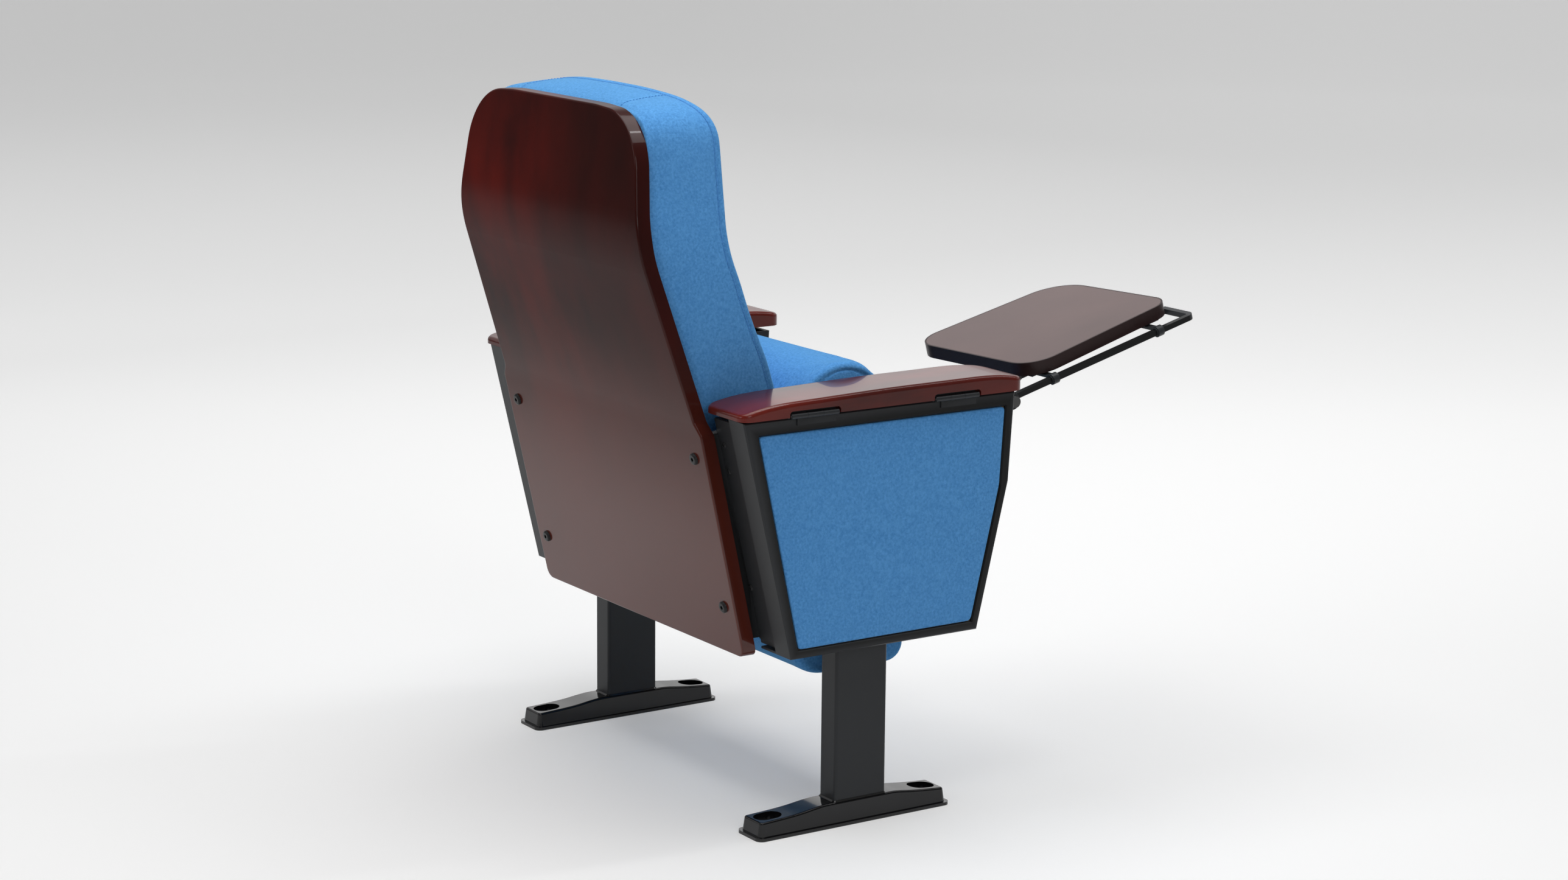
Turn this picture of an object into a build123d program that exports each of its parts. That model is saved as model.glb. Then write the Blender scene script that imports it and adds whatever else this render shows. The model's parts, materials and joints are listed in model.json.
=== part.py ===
from build123d import *
from math import atan2, cos, degrees, radians, sin
import os

# Tip up auditorium seat: two floor stands with arm boxes, a bent plywood back with its
# cushion, a seat that springs up, and a writing tablet on the sitter's right arm.
# Millimetres, +Z up. The sitter faces -Y, so the sitter's right is -X.
# The origin is on the floor, at the middle of the four floor bolts.
# Stand pieces are drawn for the left side (+X) and mirrored to the right.

# ---- driving dimensions -------------------------------------------------------------
STAND_X = 300.0            # centre of each stand from the middle of the seat
SIDES = {"left": 1, "right": -1}

FOOT_LENGTH = 315.0
FOOT_WIDTH = 58.0
FOOT_LIP = 4.5             # height of the flared lip on the floor
FOOT_LIP_OUT = 4.0
FOOT_END_HEIGHT = 23.6
FOOT_MID_HEIGHT = 32.0
FOOT_WALL = 5.0
FOOT_DRAFT = 8.0           # degrees that its sides lean in
WELD_SIZE = 2.4            # bead round the column
BOLT_Y = 126.0             # floor bolts, either side of the origin
BOLT_RADIUS = 6.5
POCKET_LENGTH = 40.0
POCKET_WIDTH = 29.0
POCKET_DEPTH = 7.0

COLUMN_WIDTH = 37.0
COLUMN_DEPTH = 83.5
COLUMN_Y = -12.0
COLUMN_WALL = 3.0

BOX_BOTTOM = 248.0
BOX_TOP = 573.5
BOX_OUTLINE = [(194.1, BOX_TOP), (116.3, BOX_BOTTOM), (-188.2, BOX_BOTTOM),
               (-236.5, 450.1), (-244.1, BOX_TOP)]
SHELL_X = 260.0            # inner face of the arm box
SHELL_WALL = 2.0
SHELL_INSET = 5.5          # how far the shell stays inside the frame's outline
FRAME_X = 303.0            # inner edge of the outer frame
FRAME_FACE_X = 336.0
STAND_FACE_X = 339.4
FRAME_RIM = 3.0
FABRIC_OUTLINE = [(169.0, 553.5), (104.0, 260.0), (-178.0, 261.0), (-222.0, 446.0),
                  (-228.5, 554.0)]
PANEL_GAP = 0.6
FABRIC_THICKNESS = 6.0
PANEL_BOARD_THICKNESS = 9.0

CAP_BOTTOM = 576.0
CAP_INNER_X = 252.0
CAP_OUTER_X = 348.0
CAP_REAR = 200.0
CAP_FRONT = -254.0
HINGE_X = 345.5
KNUCKLE_RADIUS = 3.6
HINGE_Z = BOX_TOP + KNUCKLE_RADIUS
HINGE_SPANS = [(48.0, 128.0), (-180.0, -103.0)]
LEAF_THICKNESS = 1.6
HINGE_PIN_RADIUS = 1.8

PIVOT_Y = -60.0            # the seat turns about this line, along X
PIVOT_Z = 330.0
SHAFT_RADIUS = 8.0
BUSH_RADIUS = 10.5
BUSH_CLEARANCE = 0.05
HOUSING_X = 252.0
HOUSING_RADIUS = 42.0
STOP_RADIUS = 27.0
STOP_PIN_RADIUS = 3.5
SEAT_TRAVEL = 82.0         # degrees from tipped up to lowered

BOARD_THICKNESS = 20.6     # along Y; 20 mm square to the leaning board
BOARD_REAR = [(141.9, 236.0), (213.4, 550.0), (296.0, 800.0), (280.6, 974.0)]
BOARD_BENDS = [260.0, 200.0]
BOARD_HALF_OUTLINE = [(264.0, 236.0), (265.4, 545.0), (254.6, 562.0), (241.0, 806.0),
                      (214.5, 962.0), (110.0, 968.4)]
BOARD_CORNERS = [14.0, 12.0, 12.0, 250.0, 90.0, 300.0]
BOARD_ROUND = 2.5          # rounding of the board's rear edge
BACK_BOLT_HEIGHTS = [510.5, 303.8]
BACK_BOLT_X = 237.9

TABLET_TILT = 15.2         # degrees that the tablet's front is raised
TABLET_REAR_Y = -303.0
TABLET_REAR_Z = 592.0
TABLET_OUTLINE = [(-292.0, 5.0), (-277.0, 274.5), (-44.0, 257.0), (-30.0, -9.0)]
TABLET_CORNERS = [46.0, 30.0, 62.0, 38.0]
TABLET_THICKNESS = 19.0
ROD_SIZE = 8.0
ROD_X = -298.0
ROD_INNER_X = -240.0
ROD_DROP = 26.7            # rod centre below the tablet's top
ROD_FRONT = 288.0          # cross bar, forward of the tablet's rear edge
TILT_PIVOT = -49.9         # the arm's pivot, behind the tablet's rear edge
CLIP_PLACES = (34.0, 226.0)

TABLET_PLANE = Plane(origin=(0, TABLET_REAR_Y, TABLET_REAR_Z), x_dir=(1, 0, 0),
                     z_dir=(0, sin(radians(TABLET_TILT)), cos(radians(TABLET_TILT))))


# ---- helpers ------------------------------------------------------------------------
def block(x0, x1, y0, y1, z0, z1):
    """A box between two corners."""
    return Pos((x0 + x1) / 2, (y0 + y1) / 2, (z0 + z1) / 2) * Box(x1 - x0, y1 - y0, z1 - z0)


def prism(sketch, x0, x1):
    """A sketch whose coordinates are (y, z), drawn out along X from x0 to x1."""
    return extrude(Plane.YZ.offset(x0) * sketch, amount=x1 - x0, dir=(1, 0, 0))


def polygon(points):
    return make_face(Polyline(*points, close=True))


def rod(radius, x0, x1, y, z):
    """A round bar along X."""
    return prism(Pos(y, z) * Circle(radius), x0, x1)


def rod_y(radius, y0, y1, x, z):
    """A round bar along Y."""
    return Pos(x, (y0 + y1) / 2, z) * Rot(90, 0, 0) * Cylinder(radius, y1 - y0)


def on_side(shape, side):
    return shape if side > 0 else mirror(shape, about=Plane.YZ)


def box_outline(inset):
    """The arm box seen from the side, drawn in by inset."""
    sketch = polygon(BOX_OUTLINE)
    return sketch if inset == 0 else offset(sketch, -inset, kind=Kind.INTERSECTION)


def fabric_outline(grow):
    """The fabric panel seen from the side, grown all round."""
    sketch = polygon(FABRIC_OUTLINE)
    return sketch if grow == 0 else offset(sketch, grow, kind=Kind.INTERSECTION)


def box_ring(outer_inset, inner_inset, x0, x1):
    return prism(box_outline(outer_inset) - box_outline(inner_inset), x0, x1)


def sector(r0, r1, a0, a1, x0, x1):
    """A slice of a ring about the seat's pivot, angles from +Y towards +Z."""
    inner = CenterArc((PIVOT_Y, PIVOT_Z), r0, a0, a1 - a0)
    outer = CenterArc((PIVOT_Y, PIVOT_Z), r1, a0, a1 - a0)
    sketch = make_face([inner, Line(inner @ 1, outer @ 1), outer, Line(outer @ 0, inner @ 0)])
    return prism(sketch, x0, x1)


def domed_screw(head_radius, head_height, shank_radius, shank_length):
    """A screw along +Z with its head above z = 0 and a cross recess."""
    head = Pos(0, 0, head_height / 2) * Cylinder(head_radius, head_height)
    head = fillet(head.edges().group_by(Axis.Z)[-1], head_height * 0.7)
    slot = Pos(0, 0, head_height) * Box(head_radius, head_height * 0.35, head_height * 0.8)
    shank = Pos(0, 0, -shank_length / 2) * Cylinder(shank_radius, shank_length)
    return head - slot - Rot(0, 0, 90) * slot + shank


# ---- stands -------------------------------------------------------------------------
def bolt_pocket(y):
    """The oval pocket round a floor bolt, and its hole."""
    sketch = Pos(STAND_X, y) * Rot(0, 0, 90) * SlotOverall(POCKET_LENGTH, POCKET_WIDTH)
    pocket = extrude(Plane.XY.offset(FOOT_END_HEIGHT - POCKET_DEPTH) * sketch, FOOT_LENGTH)
    return pocket + Pos(STAND_X, y, 0) * Cylinder(BOLT_RADIUS, FOOT_LENGTH)


def make_weld():
    """The bead round the column's lower end."""
    column = RectangleRounded(COLUMN_WIDTH, COLUMN_DEPTH, 4)
    bead = RectangleRounded(COLUMN_WIDTH + 2 * WELD_SIZE, COLUMN_DEPTH + 2 * WELD_SIZE, 4 + WELD_SIZE)
    ring = extrude(bead, WELD_SIZE * 0.9, taper=42) - extrude(column, 10)
    return Pos(STAND_X, COLUMN_Y, FOOT_MID_HEIGHT) * ring


def make_foot():
    body_width = FOOT_WIDTH - 2 * FOOT_LIP_OUT
    body_length = FOOT_LENGTH - 2 * FOOT_LIP_OUT
    lip = RectangleRounded(FOOT_WIDTH, FOOT_LENGTH, 10)
    body = RectangleRounded(body_width, body_length, 8)
    foot = extrude(lip, FOOT_LIP) + extrude(body, FOOT_MID_HEIGHT + 2, taper=FOOT_DRAFT)
    reach = FOOT_LENGTH / 2
    shoulder = COLUMN_DEPTH / 2 + 8
    top = Spline((-reach, FOOT_END_HEIGHT), (-126, 25.6), (-90, 29.4),
                 (COLUMN_Y - shoulder, FOOT_MID_HEIGHT), tangents=((1, 0.03), (1, 0)))
    front = Spline((COLUMN_Y + shoulder, FOOT_MID_HEIGHT), (82, 27.8), (122, 25.0),
                   (reach, FOOT_END_HEIGHT), tangents=((1, 0), (1, -0.03)))
    sky = [Line(top @ 1, front @ 0), Polyline(front @ 1, (reach, 60), (-reach, 60), top @ 0)]
    foot -= prism(make_face([top, front] + sky), -FOOT_WIDTH, FOOT_WIDTH)
    foot = Pos(STAND_X, 0, 0) * foot
    rim = foot.edges().filter_by(lambda e: e.center().Z > FOOT_END_HEIGHT - 1)
    foot = fillet(rim, 3)
    hollow_y = BOLT_Y - POCKET_LENGTH
    hollow_x = body_width / 2 - FOOT_WALL
    foot -= block(STAND_X - hollow_x, STAND_X + hollow_x, -hollow_y, hollow_y,
                  0, FOOT_END_HEIGHT - FOOT_WALL)
    return foot + make_weld() - bolt_pocket(-BOLT_Y) - bolt_pocket(BOLT_Y)


def make_column():
    outer = RectangleRounded(COLUMN_WIDTH, COLUMN_DEPTH, 4)
    inner = RectangleRounded(COLUMN_WIDTH - 2 * COLUMN_WALL, COLUMN_DEPTH - 2 * COLUMN_WALL, 1.5)
    tube = extrude(outer - inner, BOX_BOTTOM - FOOT_MID_HEIGHT)
    return Pos(STAND_X, COLUMN_Y, FOOT_MID_HEIGHT) * tube


def make_outer_frame():
    """The deep mitred frame round the fabric panel, with a floor strip under the shell."""
    rim = box_ring(0, FRAME_RIM, FRAME_X, FRAME_FACE_X)
    face = prism(box_outline(0) - fabric_outline(PANEL_GAP), FRAME_FACE_X, STAND_FACE_X)
    outer_edges = face.faces().sort_by(Axis.X)[-1].edges()
    face = chamfer(outer_edges, 1.8)
    flange = box_ring(0, 14, FRAME_X, FRAME_X + FRAME_RIM)
    rear_y = BOX_OUTLINE[1][0]
    front_y = BOX_OUTLINE[2][0]
    strip = block(267, FRAME_X, front_y, rear_y, BOX_BOTTOM, BOX_BOTTOM + FRAME_RIM)
    return rim + face + flange + strip


def make_fabric_panel():
    pad = prism(fabric_outline(0), FRAME_FACE_X - 3.0, FRAME_FACE_X - 3.0 + FABRIC_THICKNESS)
    return fillet(pad.faces().sort_by(Axis.X)[-1].edges(), 2.5)


def make_panel_board():
    face = FRAME_FACE_X - 3.0
    board = prism(box_outline(FRAME_RIM + 1), face - PANEL_BOARD_THICKNESS, face)
    return board


def make_box_shell():
    """A folded steel tray, open on top, its open side against the outer frame."""
    wall = box_ring(SHELL_INSET, SHELL_INSET + SHELL_WALL, SHELL_X, FRAME_X)
    back = prism(box_outline(SHELL_INSET), SHELL_X, SHELL_X + SHELL_WALL)
    shell = wall + back
    top = block(SHELL_X + SHELL_WALL, FRAME_X, -232, 180, BOX_TOP - 12, BOX_TOP)
    shell -= top
    return shell - rod(HOUSING_RADIUS - 8, SHELL_X - 1, SHELL_X + 5, PIVOT_Y, PIVOT_Z)


REAR_RISE = BOX_TOP - BOX_BOTTOM
REAR_RUN = BOX_OUTLINE[0][0] - BOX_OUTLINE[1][0]
REAR_LEAN = degrees(atan2(REAR_RUN, REAR_RISE))


def rear_plane(depth, z, x=0.0):
    """A plane along the stand's rear face, depth inside it, facing rearwards, local y up."""
    lean = radians(REAR_LEAN)
    y = BOX_OUTLINE[1][0] + (z - BOX_BOTTOM) * REAR_RUN / REAR_RISE
    normal = (0, cos(lean), -sin(lean))
    origin = (x, y - depth * cos(lean), z + depth * sin(lean))
    return Plane(origin=origin, x_dir=(-1, 0, 0), z_dir=normal)


COVER_INNER_X = 260.4
COVER_OUTER_X = 302.0
COVER_THICKNESS = 1.5
COVER_SCREWS = [(273.0, 532.0), (271.0, 495.0), (266.0, 332.0)]


FLANGE_LOW = 262.0         # the closing flange reaches from here ...
FLANGE_HIGH = 546.0        # ... to here
FLANGE_GAP = 0.4


def board_front_y(z):
    """The y of the board's front face in its straight lower part."""
    (y0, z0), (y1, z1) = BOARD_REAR[0], BOARD_REAR[1]
    return y0 - BOARD_THICKNESS + (z - z0) * (y1 - y0) / (z1 - z0)


def make_closing_flange():
    """The cover's turned edge, which closes the gap in front of the board."""
    rear = [BOX_OUTLINE[1][0] + (z - BOX_BOTTOM) * REAR_RUN / REAR_RISE - SHELL_INSET
            for z in (FLANGE_LOW, FLANGE_HIGH)]
    board = [board_front_y(z) - FLANGE_GAP for z in (FLANGE_LOW, FLANGE_HIGH)]
    shape = polygon([(rear[0], FLANGE_LOW), (board[0], FLANGE_LOW), (board[1], FLANGE_HIGH),
                     (rear[1], FLANGE_HIGH)])
    return prism(shape, COVER_INNER_X, COVER_INNER_X + 2.0)


def make_rear_cover():
    width = COVER_OUTER_X - COVER_INNER_X
    height = 316.0
    middle = (COVER_OUTER_X + COVER_INNER_X) / 2
    sketch = Pos(0, height / 2) * Rectangle(width, height)
    corner = sketch.vertices().sort_by(Axis.Y)[:2].sort_by(Axis.X)[0]
    sketch = fillet(corner, 14)
    cover = extrude(rear_plane(SHELL_INSET, 259.0, middle) * sketch, COVER_THICKNESS)
    return cover + make_closing_flange()


def make_cover_screws():
    screws = []
    for x, z in COVER_SCREWS:
        plane = rear_plane(SHELL_INSET - COVER_THICKNESS, z, x)
        screws.append(plane.location * domed_screw(4.0, 2.2, 1.9, 8.0))
    return screws


# ---- arm caps -----------------------------------------------------------------------
CAP_TOP = [(200.0, 585.0), (164.0, 592.5), (88.0, 597.0), (-27.0, 600.0), (-150.0, 601.0),
           (-217.0, 599.5), (-254.0, 593.5)]


def make_cap():
    top = Spline(*CAP_TOP)
    sides = Polyline(CAP_TOP[-1], (CAP_FRONT, CAP_BOTTOM), (CAP_REAR, CAP_BOTTOM), CAP_TOP[0])
    cap = prism(make_face([top, sides]), CAP_INNER_X, CAP_OUTER_X)
    plan = Pos((CAP_INNER_X + CAP_OUTER_X) / 2, (CAP_FRONT + CAP_REAR) / 2)
    plan = plan * RectangleRounded(CAP_OUTER_X - CAP_INNER_X, CAP_REAR - CAP_FRONT, 16)
    cap &= extrude(Plane.XY.offset(CAP_BOTTOM) * plan, 40)
    upper = cap.faces().filter_by(lambda f: f.normal_at().Z > 0.5).edges()
    return fillet(upper, 6.0)


HINGE_TAB_X = (339.7, 341.3)
RECESS_HEIGHT = 8.4        # of the cut-out in the cap's outer face


def hinge_recess(y0, y1):
    """Room for the leaves, and the taller cut-out with round corners in the outer face."""
    flat = block(HINGE_X - 28, CAP_OUTER_X + 1, y0, y1, CAP_BOTTOM - 1,
                 HINGE_Z + KNUCKLE_RADIUS + 0.1)
    face = Pos((y0 + y1) / 2, CAP_BOTTOM) * RectangleRounded(y1 - y0, 2 * RECESS_HEIGHT, 5)
    return flat + prism(face, HINGE_TAB_X[0] - 0.1, CAP_OUTER_X + 1)


def knuckle(y0, y1):
    bore = rod_y(HINGE_PIN_RADIUS + 0.05, y0 - 1, y1 + 1, HINGE_X, HINGE_Z)
    return rod_y(KNUCKLE_RADIUS, y0, y1, HINGE_X, HINGE_Z) - bore


def hinge_leaf(y0, y1, k0, k1, z0):
    """One knuckle on a flat leaf, the leaf as wide as the hinge."""
    leaf = block(HINGE_X - 25, HINGE_X - KNUCKLE_RADIUS - 0.6, y0 + 1.5, y1 - 1.5, z0,
                 z0 + LEAF_THICKNESS)
    tongue = block(HINGE_X - 8, HINGE_X, k0, k1, z0, z0 + LEAF_THICKNESS)
    tongue -= rod_y(HINGE_PIN_RADIUS + 0.05, k0, k1, HINGE_X, HINGE_Z)
    return leaf + tongue + knuckle(k0, k1)


def make_cap_hinges():
    """Fixed leaves with the middle knuckle, moving leaves with the two outer ones, and pins."""
    fixed, moving, pins = [], [], []
    for y0, y1 in HINGE_SPANS:
        third = (y1 - y0 - 6) / 3
        a, b = y0 + 3 + third, y1 - 3 - third
        tab = block(*HINGE_TAB_X, y0 + 3, y1 - 16, BOX_TOP - 10, BOX_TOP + LEAF_THICKNESS)
        fixed.append(hinge_leaf(y0, y1, a + 0.3, b - 0.3, HINGE_Z - KNUCKLE_RADIUS) + tab)
        top = HINGE_Z + KNUCKLE_RADIUS - LEAF_THICKNESS
        both = hinge_leaf(y0, y1, y0 + 3, a, top) + hinge_leaf(y0, y1, b, y1 - 3, top)
        moving.append(both + block(*HINGE_TAB_X, y0 + 5, y1 - 5, top, CAP_BOTTOM + RECESS_HEIGHT - 0.1))
        pins.append(rod_y(HINGE_PIN_RADIUS, y0 + 2, y1 - 2, HINGE_X, HINGE_Z))
    return fixed, moving, pins


def make_cap_screws():
    """Four screws up through the frame's top rim into the left cap."""
    screws = []
    for y in (150.0, 60.0, -80.0, -190.0):
        screw = Pos(315, y, BOX_TOP - FRAME_RIM) * Rot(180, 0, 0) * domed_screw(4.5, 2.4, 2.0, 16.0)
        screws.append(screw)
    return screws


def make_cap_packers():
    """Thin rubber strips that the cap rests on."""
    return [block(308, 330, y - 8, y + 8, BOX_TOP, CAP_BOTTOM) for y in (165.0, 0.0, -212.0)]


# ---- seat pivot in the stand --------------------------------------------------------
def make_pivot_housing():
    flange = rod(HOUSING_RADIUS, HOUSING_X, SHELL_X, PIVOT_Y, PIVOT_Z)
    flange = chamfer(flange.edges().group_by(Axis.X)[0], 2)
    boss = rod(HOUSING_RADIUS - 8.2, SHELL_X, 272, PIVOT_Y, PIVOT_Z)
    bore = rod(BUSH_RADIUS, HOUSING_X - 1, 280, PIVOT_Y, PIVOT_Z)
    slot = sector(STOP_RADIUS - 4.5, STOP_RADIUS + 4.5, 74, 188, HOUSING_X - 1, 266)
    return flange + boss - bore - slot


def make_stop_buffers():
    rest_end = 90 - degrees(atan2(STOP_PIN_RADIUS, STOP_RADIUS)) - 0.8
    low_end = 90 + SEAT_TRAVEL + degrees(atan2(STOP_PIN_RADIUS, STOP_RADIUS)) + 0.8
    reach = STOP_RADIUS + 4.5
    short = STOP_RADIUS - 4.5
    return [sector(short, reach, 74, rest_end, HOUSING_X + 1, 266),
            sector(short, reach, low_end, 188, HOUSING_X + 1, 266)]


def make_pivot_bush():
    bush = rod(BUSH_RADIUS, HOUSING_X, 272, PIVOT_Y, PIVOT_Z)
    return bush - rod(SHAFT_RADIUS + BUSH_CLEARANCE, HOUSING_X - 1, 280, PIVOT_Y, PIVOT_Z)


def make_housing_screws():
    screws = []
    for angle in (250.0, 325.0, 38.0):
        y = PIVOT_Y + 29 * cos(radians(angle))
        z = PIVOT_Z + 29 * sin(radians(angle))
        place = Plane(origin=(HOUSING_X, y, z), x_dir=(0, 1, 0), z_dir=(-1, 0, 0))
        screws.append(place.location * domed_screw(4.5, 2.2, 2.5, 18.0))
    return screws


def make_return_spring():
    """The coil that lifts the seat, round the end of its shaft inside the arm box."""
    path = Helix(pitch=4.4, height=22.0, radius=13.0)
    section = Plane(origin=path @ 0, z_dir=path % 0) * Circle(1.5)
    coil = sweep(section, path=path)
    return Pos(274.0, PIVOT_Y, PIVOT_Z) * Rot(0, 90, 0) * coil


# ---- back ---------------------------------------------------------------------------
def back_curve(step):
    """The board's rear line in (y, z), moved forward by step."""
    points = [(y - step, z) for y, z in BOARD_REAR]
    return FilletPolyline(*points, radius=BOARD_BENDS)


def back_slab(near, far, half_width):
    """A bent sheet between two distances forward of the board's rear line."""
    rear, front = back_curve(near), back_curve(far)
    ends = [Line(rear @ 0, front @ 0), Line(rear @ 1, front @ 1)]
    return prism(make_face([rear, front] + ends), -half_width, half_width)


def back_outline():
    """The board seen from behind, in (x, z)."""
    half = [(x, z) for x, z in BOARD_HALF_OUTLINE]
    other = [(-x, z) for x, z in reversed(half)]
    radii = BOARD_CORNERS + list(reversed(BOARD_CORNERS))
    return make_face(FilletPolyline(*(half + other), radius=radii, close=True))


def make_back_board():
    slab = back_slab(0, BOARD_THICKNESS, 290)
    cutter = extrude(Plane.XZ.offset(-400) * back_outline(), amount=400)
    board = slab & cutter
    rear = board.faces().filter_by(lambda f: f.normal_at().Y > 0.7)
    edges = [e for f in rear for e in f.edges()]
    rim = [e for e in edges if sum(e.is_same(other) for other in edges) == 1]
    return fillet(rim, BOARD_ROUND)


def board_plane(y, z):
    """A plane on the board's rear surface at a bolt, facing rearwards."""
    lean = atan2(BOARD_REAR[1][0] - BOARD_REAR[0][0], BOARD_REAR[1][1] - BOARD_REAR[0][1])
    return Plane(origin=(0, y, z), x_dir=(-1, 0, 0), z_dir=(0, cos(lean), -sin(lean)))


def on_board(x, z, depth):
    """The place on the board's rear surface at height z, depth below that surface."""
    lean = atan2(BOARD_REAR[1][0] - BOARD_REAR[0][0], BOARD_REAR[1][1] - BOARD_REAR[0][1])
    surface = BOARD_REAR[0][0] + (z - BOARD_REAR[0][1]) * sin(lean) / cos(lean)
    plane = board_plane(surface, z)
    return plane.location * Pos(-x, 0, -depth)


BOARD_DEPTH = 20.1         # the board's thickness square to its face
BRACKET_THICKNESS = 3.0


def make_back_bolts():
    bolts = []
    for side in (1, -1):
        for z in BACK_BOLT_HEIGHTS:
            head = Cylinder(8.0, 4.0)
            head = fillet(head.edges().group_by(Axis.Z)[-1], 2.5)
            socket = Pos(0, 0, 2) * extrude(RegularPolygon(2.9, 6), 4, both=True)
            shank = Pos(0, 0, -15) * Cylinder(3.0, 30)
            bolt = Pos(0, 0, 2) * (head - socket) + shank
            bolts.append(on_board(side * BACK_BOLT_X, z, 0) * bolt)
    return bolts


def make_back_nuts():
    nuts = []
    for side in (1, -1):
        for z in BACK_BOLT_HEIGHTS:
            nut = extrude(RegularPolygon(5.8, 6), 5) - Cylinder(3.0, 20)
            depth = BOARD_DEPTH + BRACKET_THICKNESS + 5.0
            nuts.append(on_board(side * BACK_BOLT_X, z, depth) * nut)
    return nuts


def make_back_bracket():
    """Two angle plates that tie the board to the stand's inner wall."""
    plates = []
    for z in BACK_BOLT_HEIGHTS:
        top = BOARD_DEPTH
        flat = Pos(-(SHELL_X + 226) / 2, 0, -top - BRACKET_THICKNESS / 2)
        flat = flat * Box(SHELL_X - 226, 70, BRACKET_THICKNESS)
        arm = Pos(-SHELL_X + BRACKET_THICKNESS / 2, 0, -top - 24)
        arm = arm * Box(BRACKET_THICKNESS, 70, 48)
        plates.append(on_board(0, z, 0) * (flat + arm))
    return plates


def make_bracket_screws():
    screws = []
    for z in BACK_BOLT_HEIGHTS:
        for shift in (-20, 20):
            place = on_board(SHELL_X - BRACKET_THICKNESS, z, BOARD_DEPTH + 30)
            screw = Pos(0, shift, 0) * Rot(0, 90, 0) * domed_screw(4.5, 2.2, 2.5, 10.0)
            screws.append(place * screw)
    return screws


def make_back_core():
    slab = back_slab(BOARD_THICKNESS, BOARD_THICKNESS + 9.5, 205)
    return slab & block(-205, 205, 0, 400, 480, 920)


# Back cushion sections: height, front edge at the sides, half width, crown of the front.
CUSHION_SECTIONS = [
    (450.0, 72.0, 229.0, 4.0), (474.0, 61.0, 233.0, 7.0), (560.0, 73.0, 241.0, 10.0),
    (640.0, 99.5, 246.0, 12.0), (720.0, 132.0, 245.0, 12.0), (776.0, 152.0, 242.0, 12.0),
    (808.0, 157.0, 239.0, 12.0), (860.0, 158.0, 231.0, 12.0), (925.0, 158.0, 221.0, 11.0),
    (945.0, 159.0, 218.0, 9.0), (962.0, 164.0, 215.0, 7.0), (990.0, 192.0, 210.0, 3.0)]
CUSHION_TOP = [(221.0, 925.0), (213.0, 943.0), (197.0, 959.0), (172.0, 970.5), (125.0, 979.0),
               (69.0, 983.0), (0.0, 984.5)]
CUSHION_SLOPE = [(60.0, 1020.0), (60.0, 984.5), (190.0, 984.5), (262.0, 969.5), (330.0, 956.0),
                 (330.0, 1020.0)]
CUSHION_CORNER = 8.0
CUSHION_BACK = 300.0       # the sections run on behind the board, which then cuts them


def cushion_section(z, front, half, crown):
    """One level of the back cushion: flat sides, a tight sewn corner and a crowned front."""
    corner = CUSHION_CORNER
    turn = corner * 0.29
    edges = [Line((-half, CUSHION_BACK), (half, CUSHION_BACK)),
             Line((half, CUSHION_BACK), (half, front + corner)),
             ThreePointArc((half, front + corner), (half - turn, front + turn), (half - corner, front)),
             ThreePointArc((half - corner, front), (0, front - crown), (-half + corner, front)),
             ThreePointArc((-half + corner, front), (-half + turn, front + turn), (-half, front + corner)),
             Line((-half, front + corner), (-half, CUSHION_BACK))]
    return Plane.XY.offset(z) * make_face(edges)


def cushion_top_cutter():
    """What the rounded top corners and the crown of the top leave of the cushion, in (x, z)."""
    right = Spline(*CUSHION_TOP, tangents=((-0.25, 1), (-1, 0)))
    left = Spline(*[(-x, z) for x, z in CUSHION_TOP], tangents=((0.25, 1), (1, 0)))
    low = Polyline(right @ 0, (300, 925), (300, 400), (-300, 400), (-300, 925), left @ 0)
    return extrude(Plane.XZ.offset(-400) * make_face([right, left, low]), amount=500)


def make_back_cushion():
    """The padded back, hollowed for its core and relieved round the upper brackets."""
    cushion = loft([cushion_section(*row) for row in CUSHION_SECTIONS])
    cushion &= cushion_top_cutter()
    cushion -= prism(polygon(CUSHION_SLOPE), -300, 300)
    cushion -= back_slab(-120, BOARD_THICKNESS, 290)
    relief = Box(46, 78, 20)
    for side in (1, -1):
        cushion -= on_board(side * 242, BACK_BOLT_HEIGHTS[0], BOARD_DEPTH + 6) * relief
    return cushion - make_back_core()


# ---- seat ---------------------------------------------------------------------------
SEAT_FACE_TOP = 46.0       # y of the sitting face at the roll, seat tipped up
SEAT_FACE_LOW = 50.0
SEAT_UNDER_TOP = -108.0
SEAT_UNDER_LOW = -142.0
SEAT_BOTTOM = 187.0
ROLL_Z = 540.0
ROLL_TOP = 619.0
SPLIT_Y = -76.0            # seam between the cushion and its under cover
CAVITY = (-216.0, 216.0, SPLIT_Y, -34.0, 207.0, 556.0)
SEAT_LEVELS = [(-243.0, 12.0, 0.8), (-236.0, 2.0, 0.8), (-130.0, 0.0, 3.0), (0.0, 0.0, 4.0),
               (130.0, 0.0, 3.0), (236.0, 2.0, 0.8), (243.0, 12.0, 0.8)]


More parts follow.
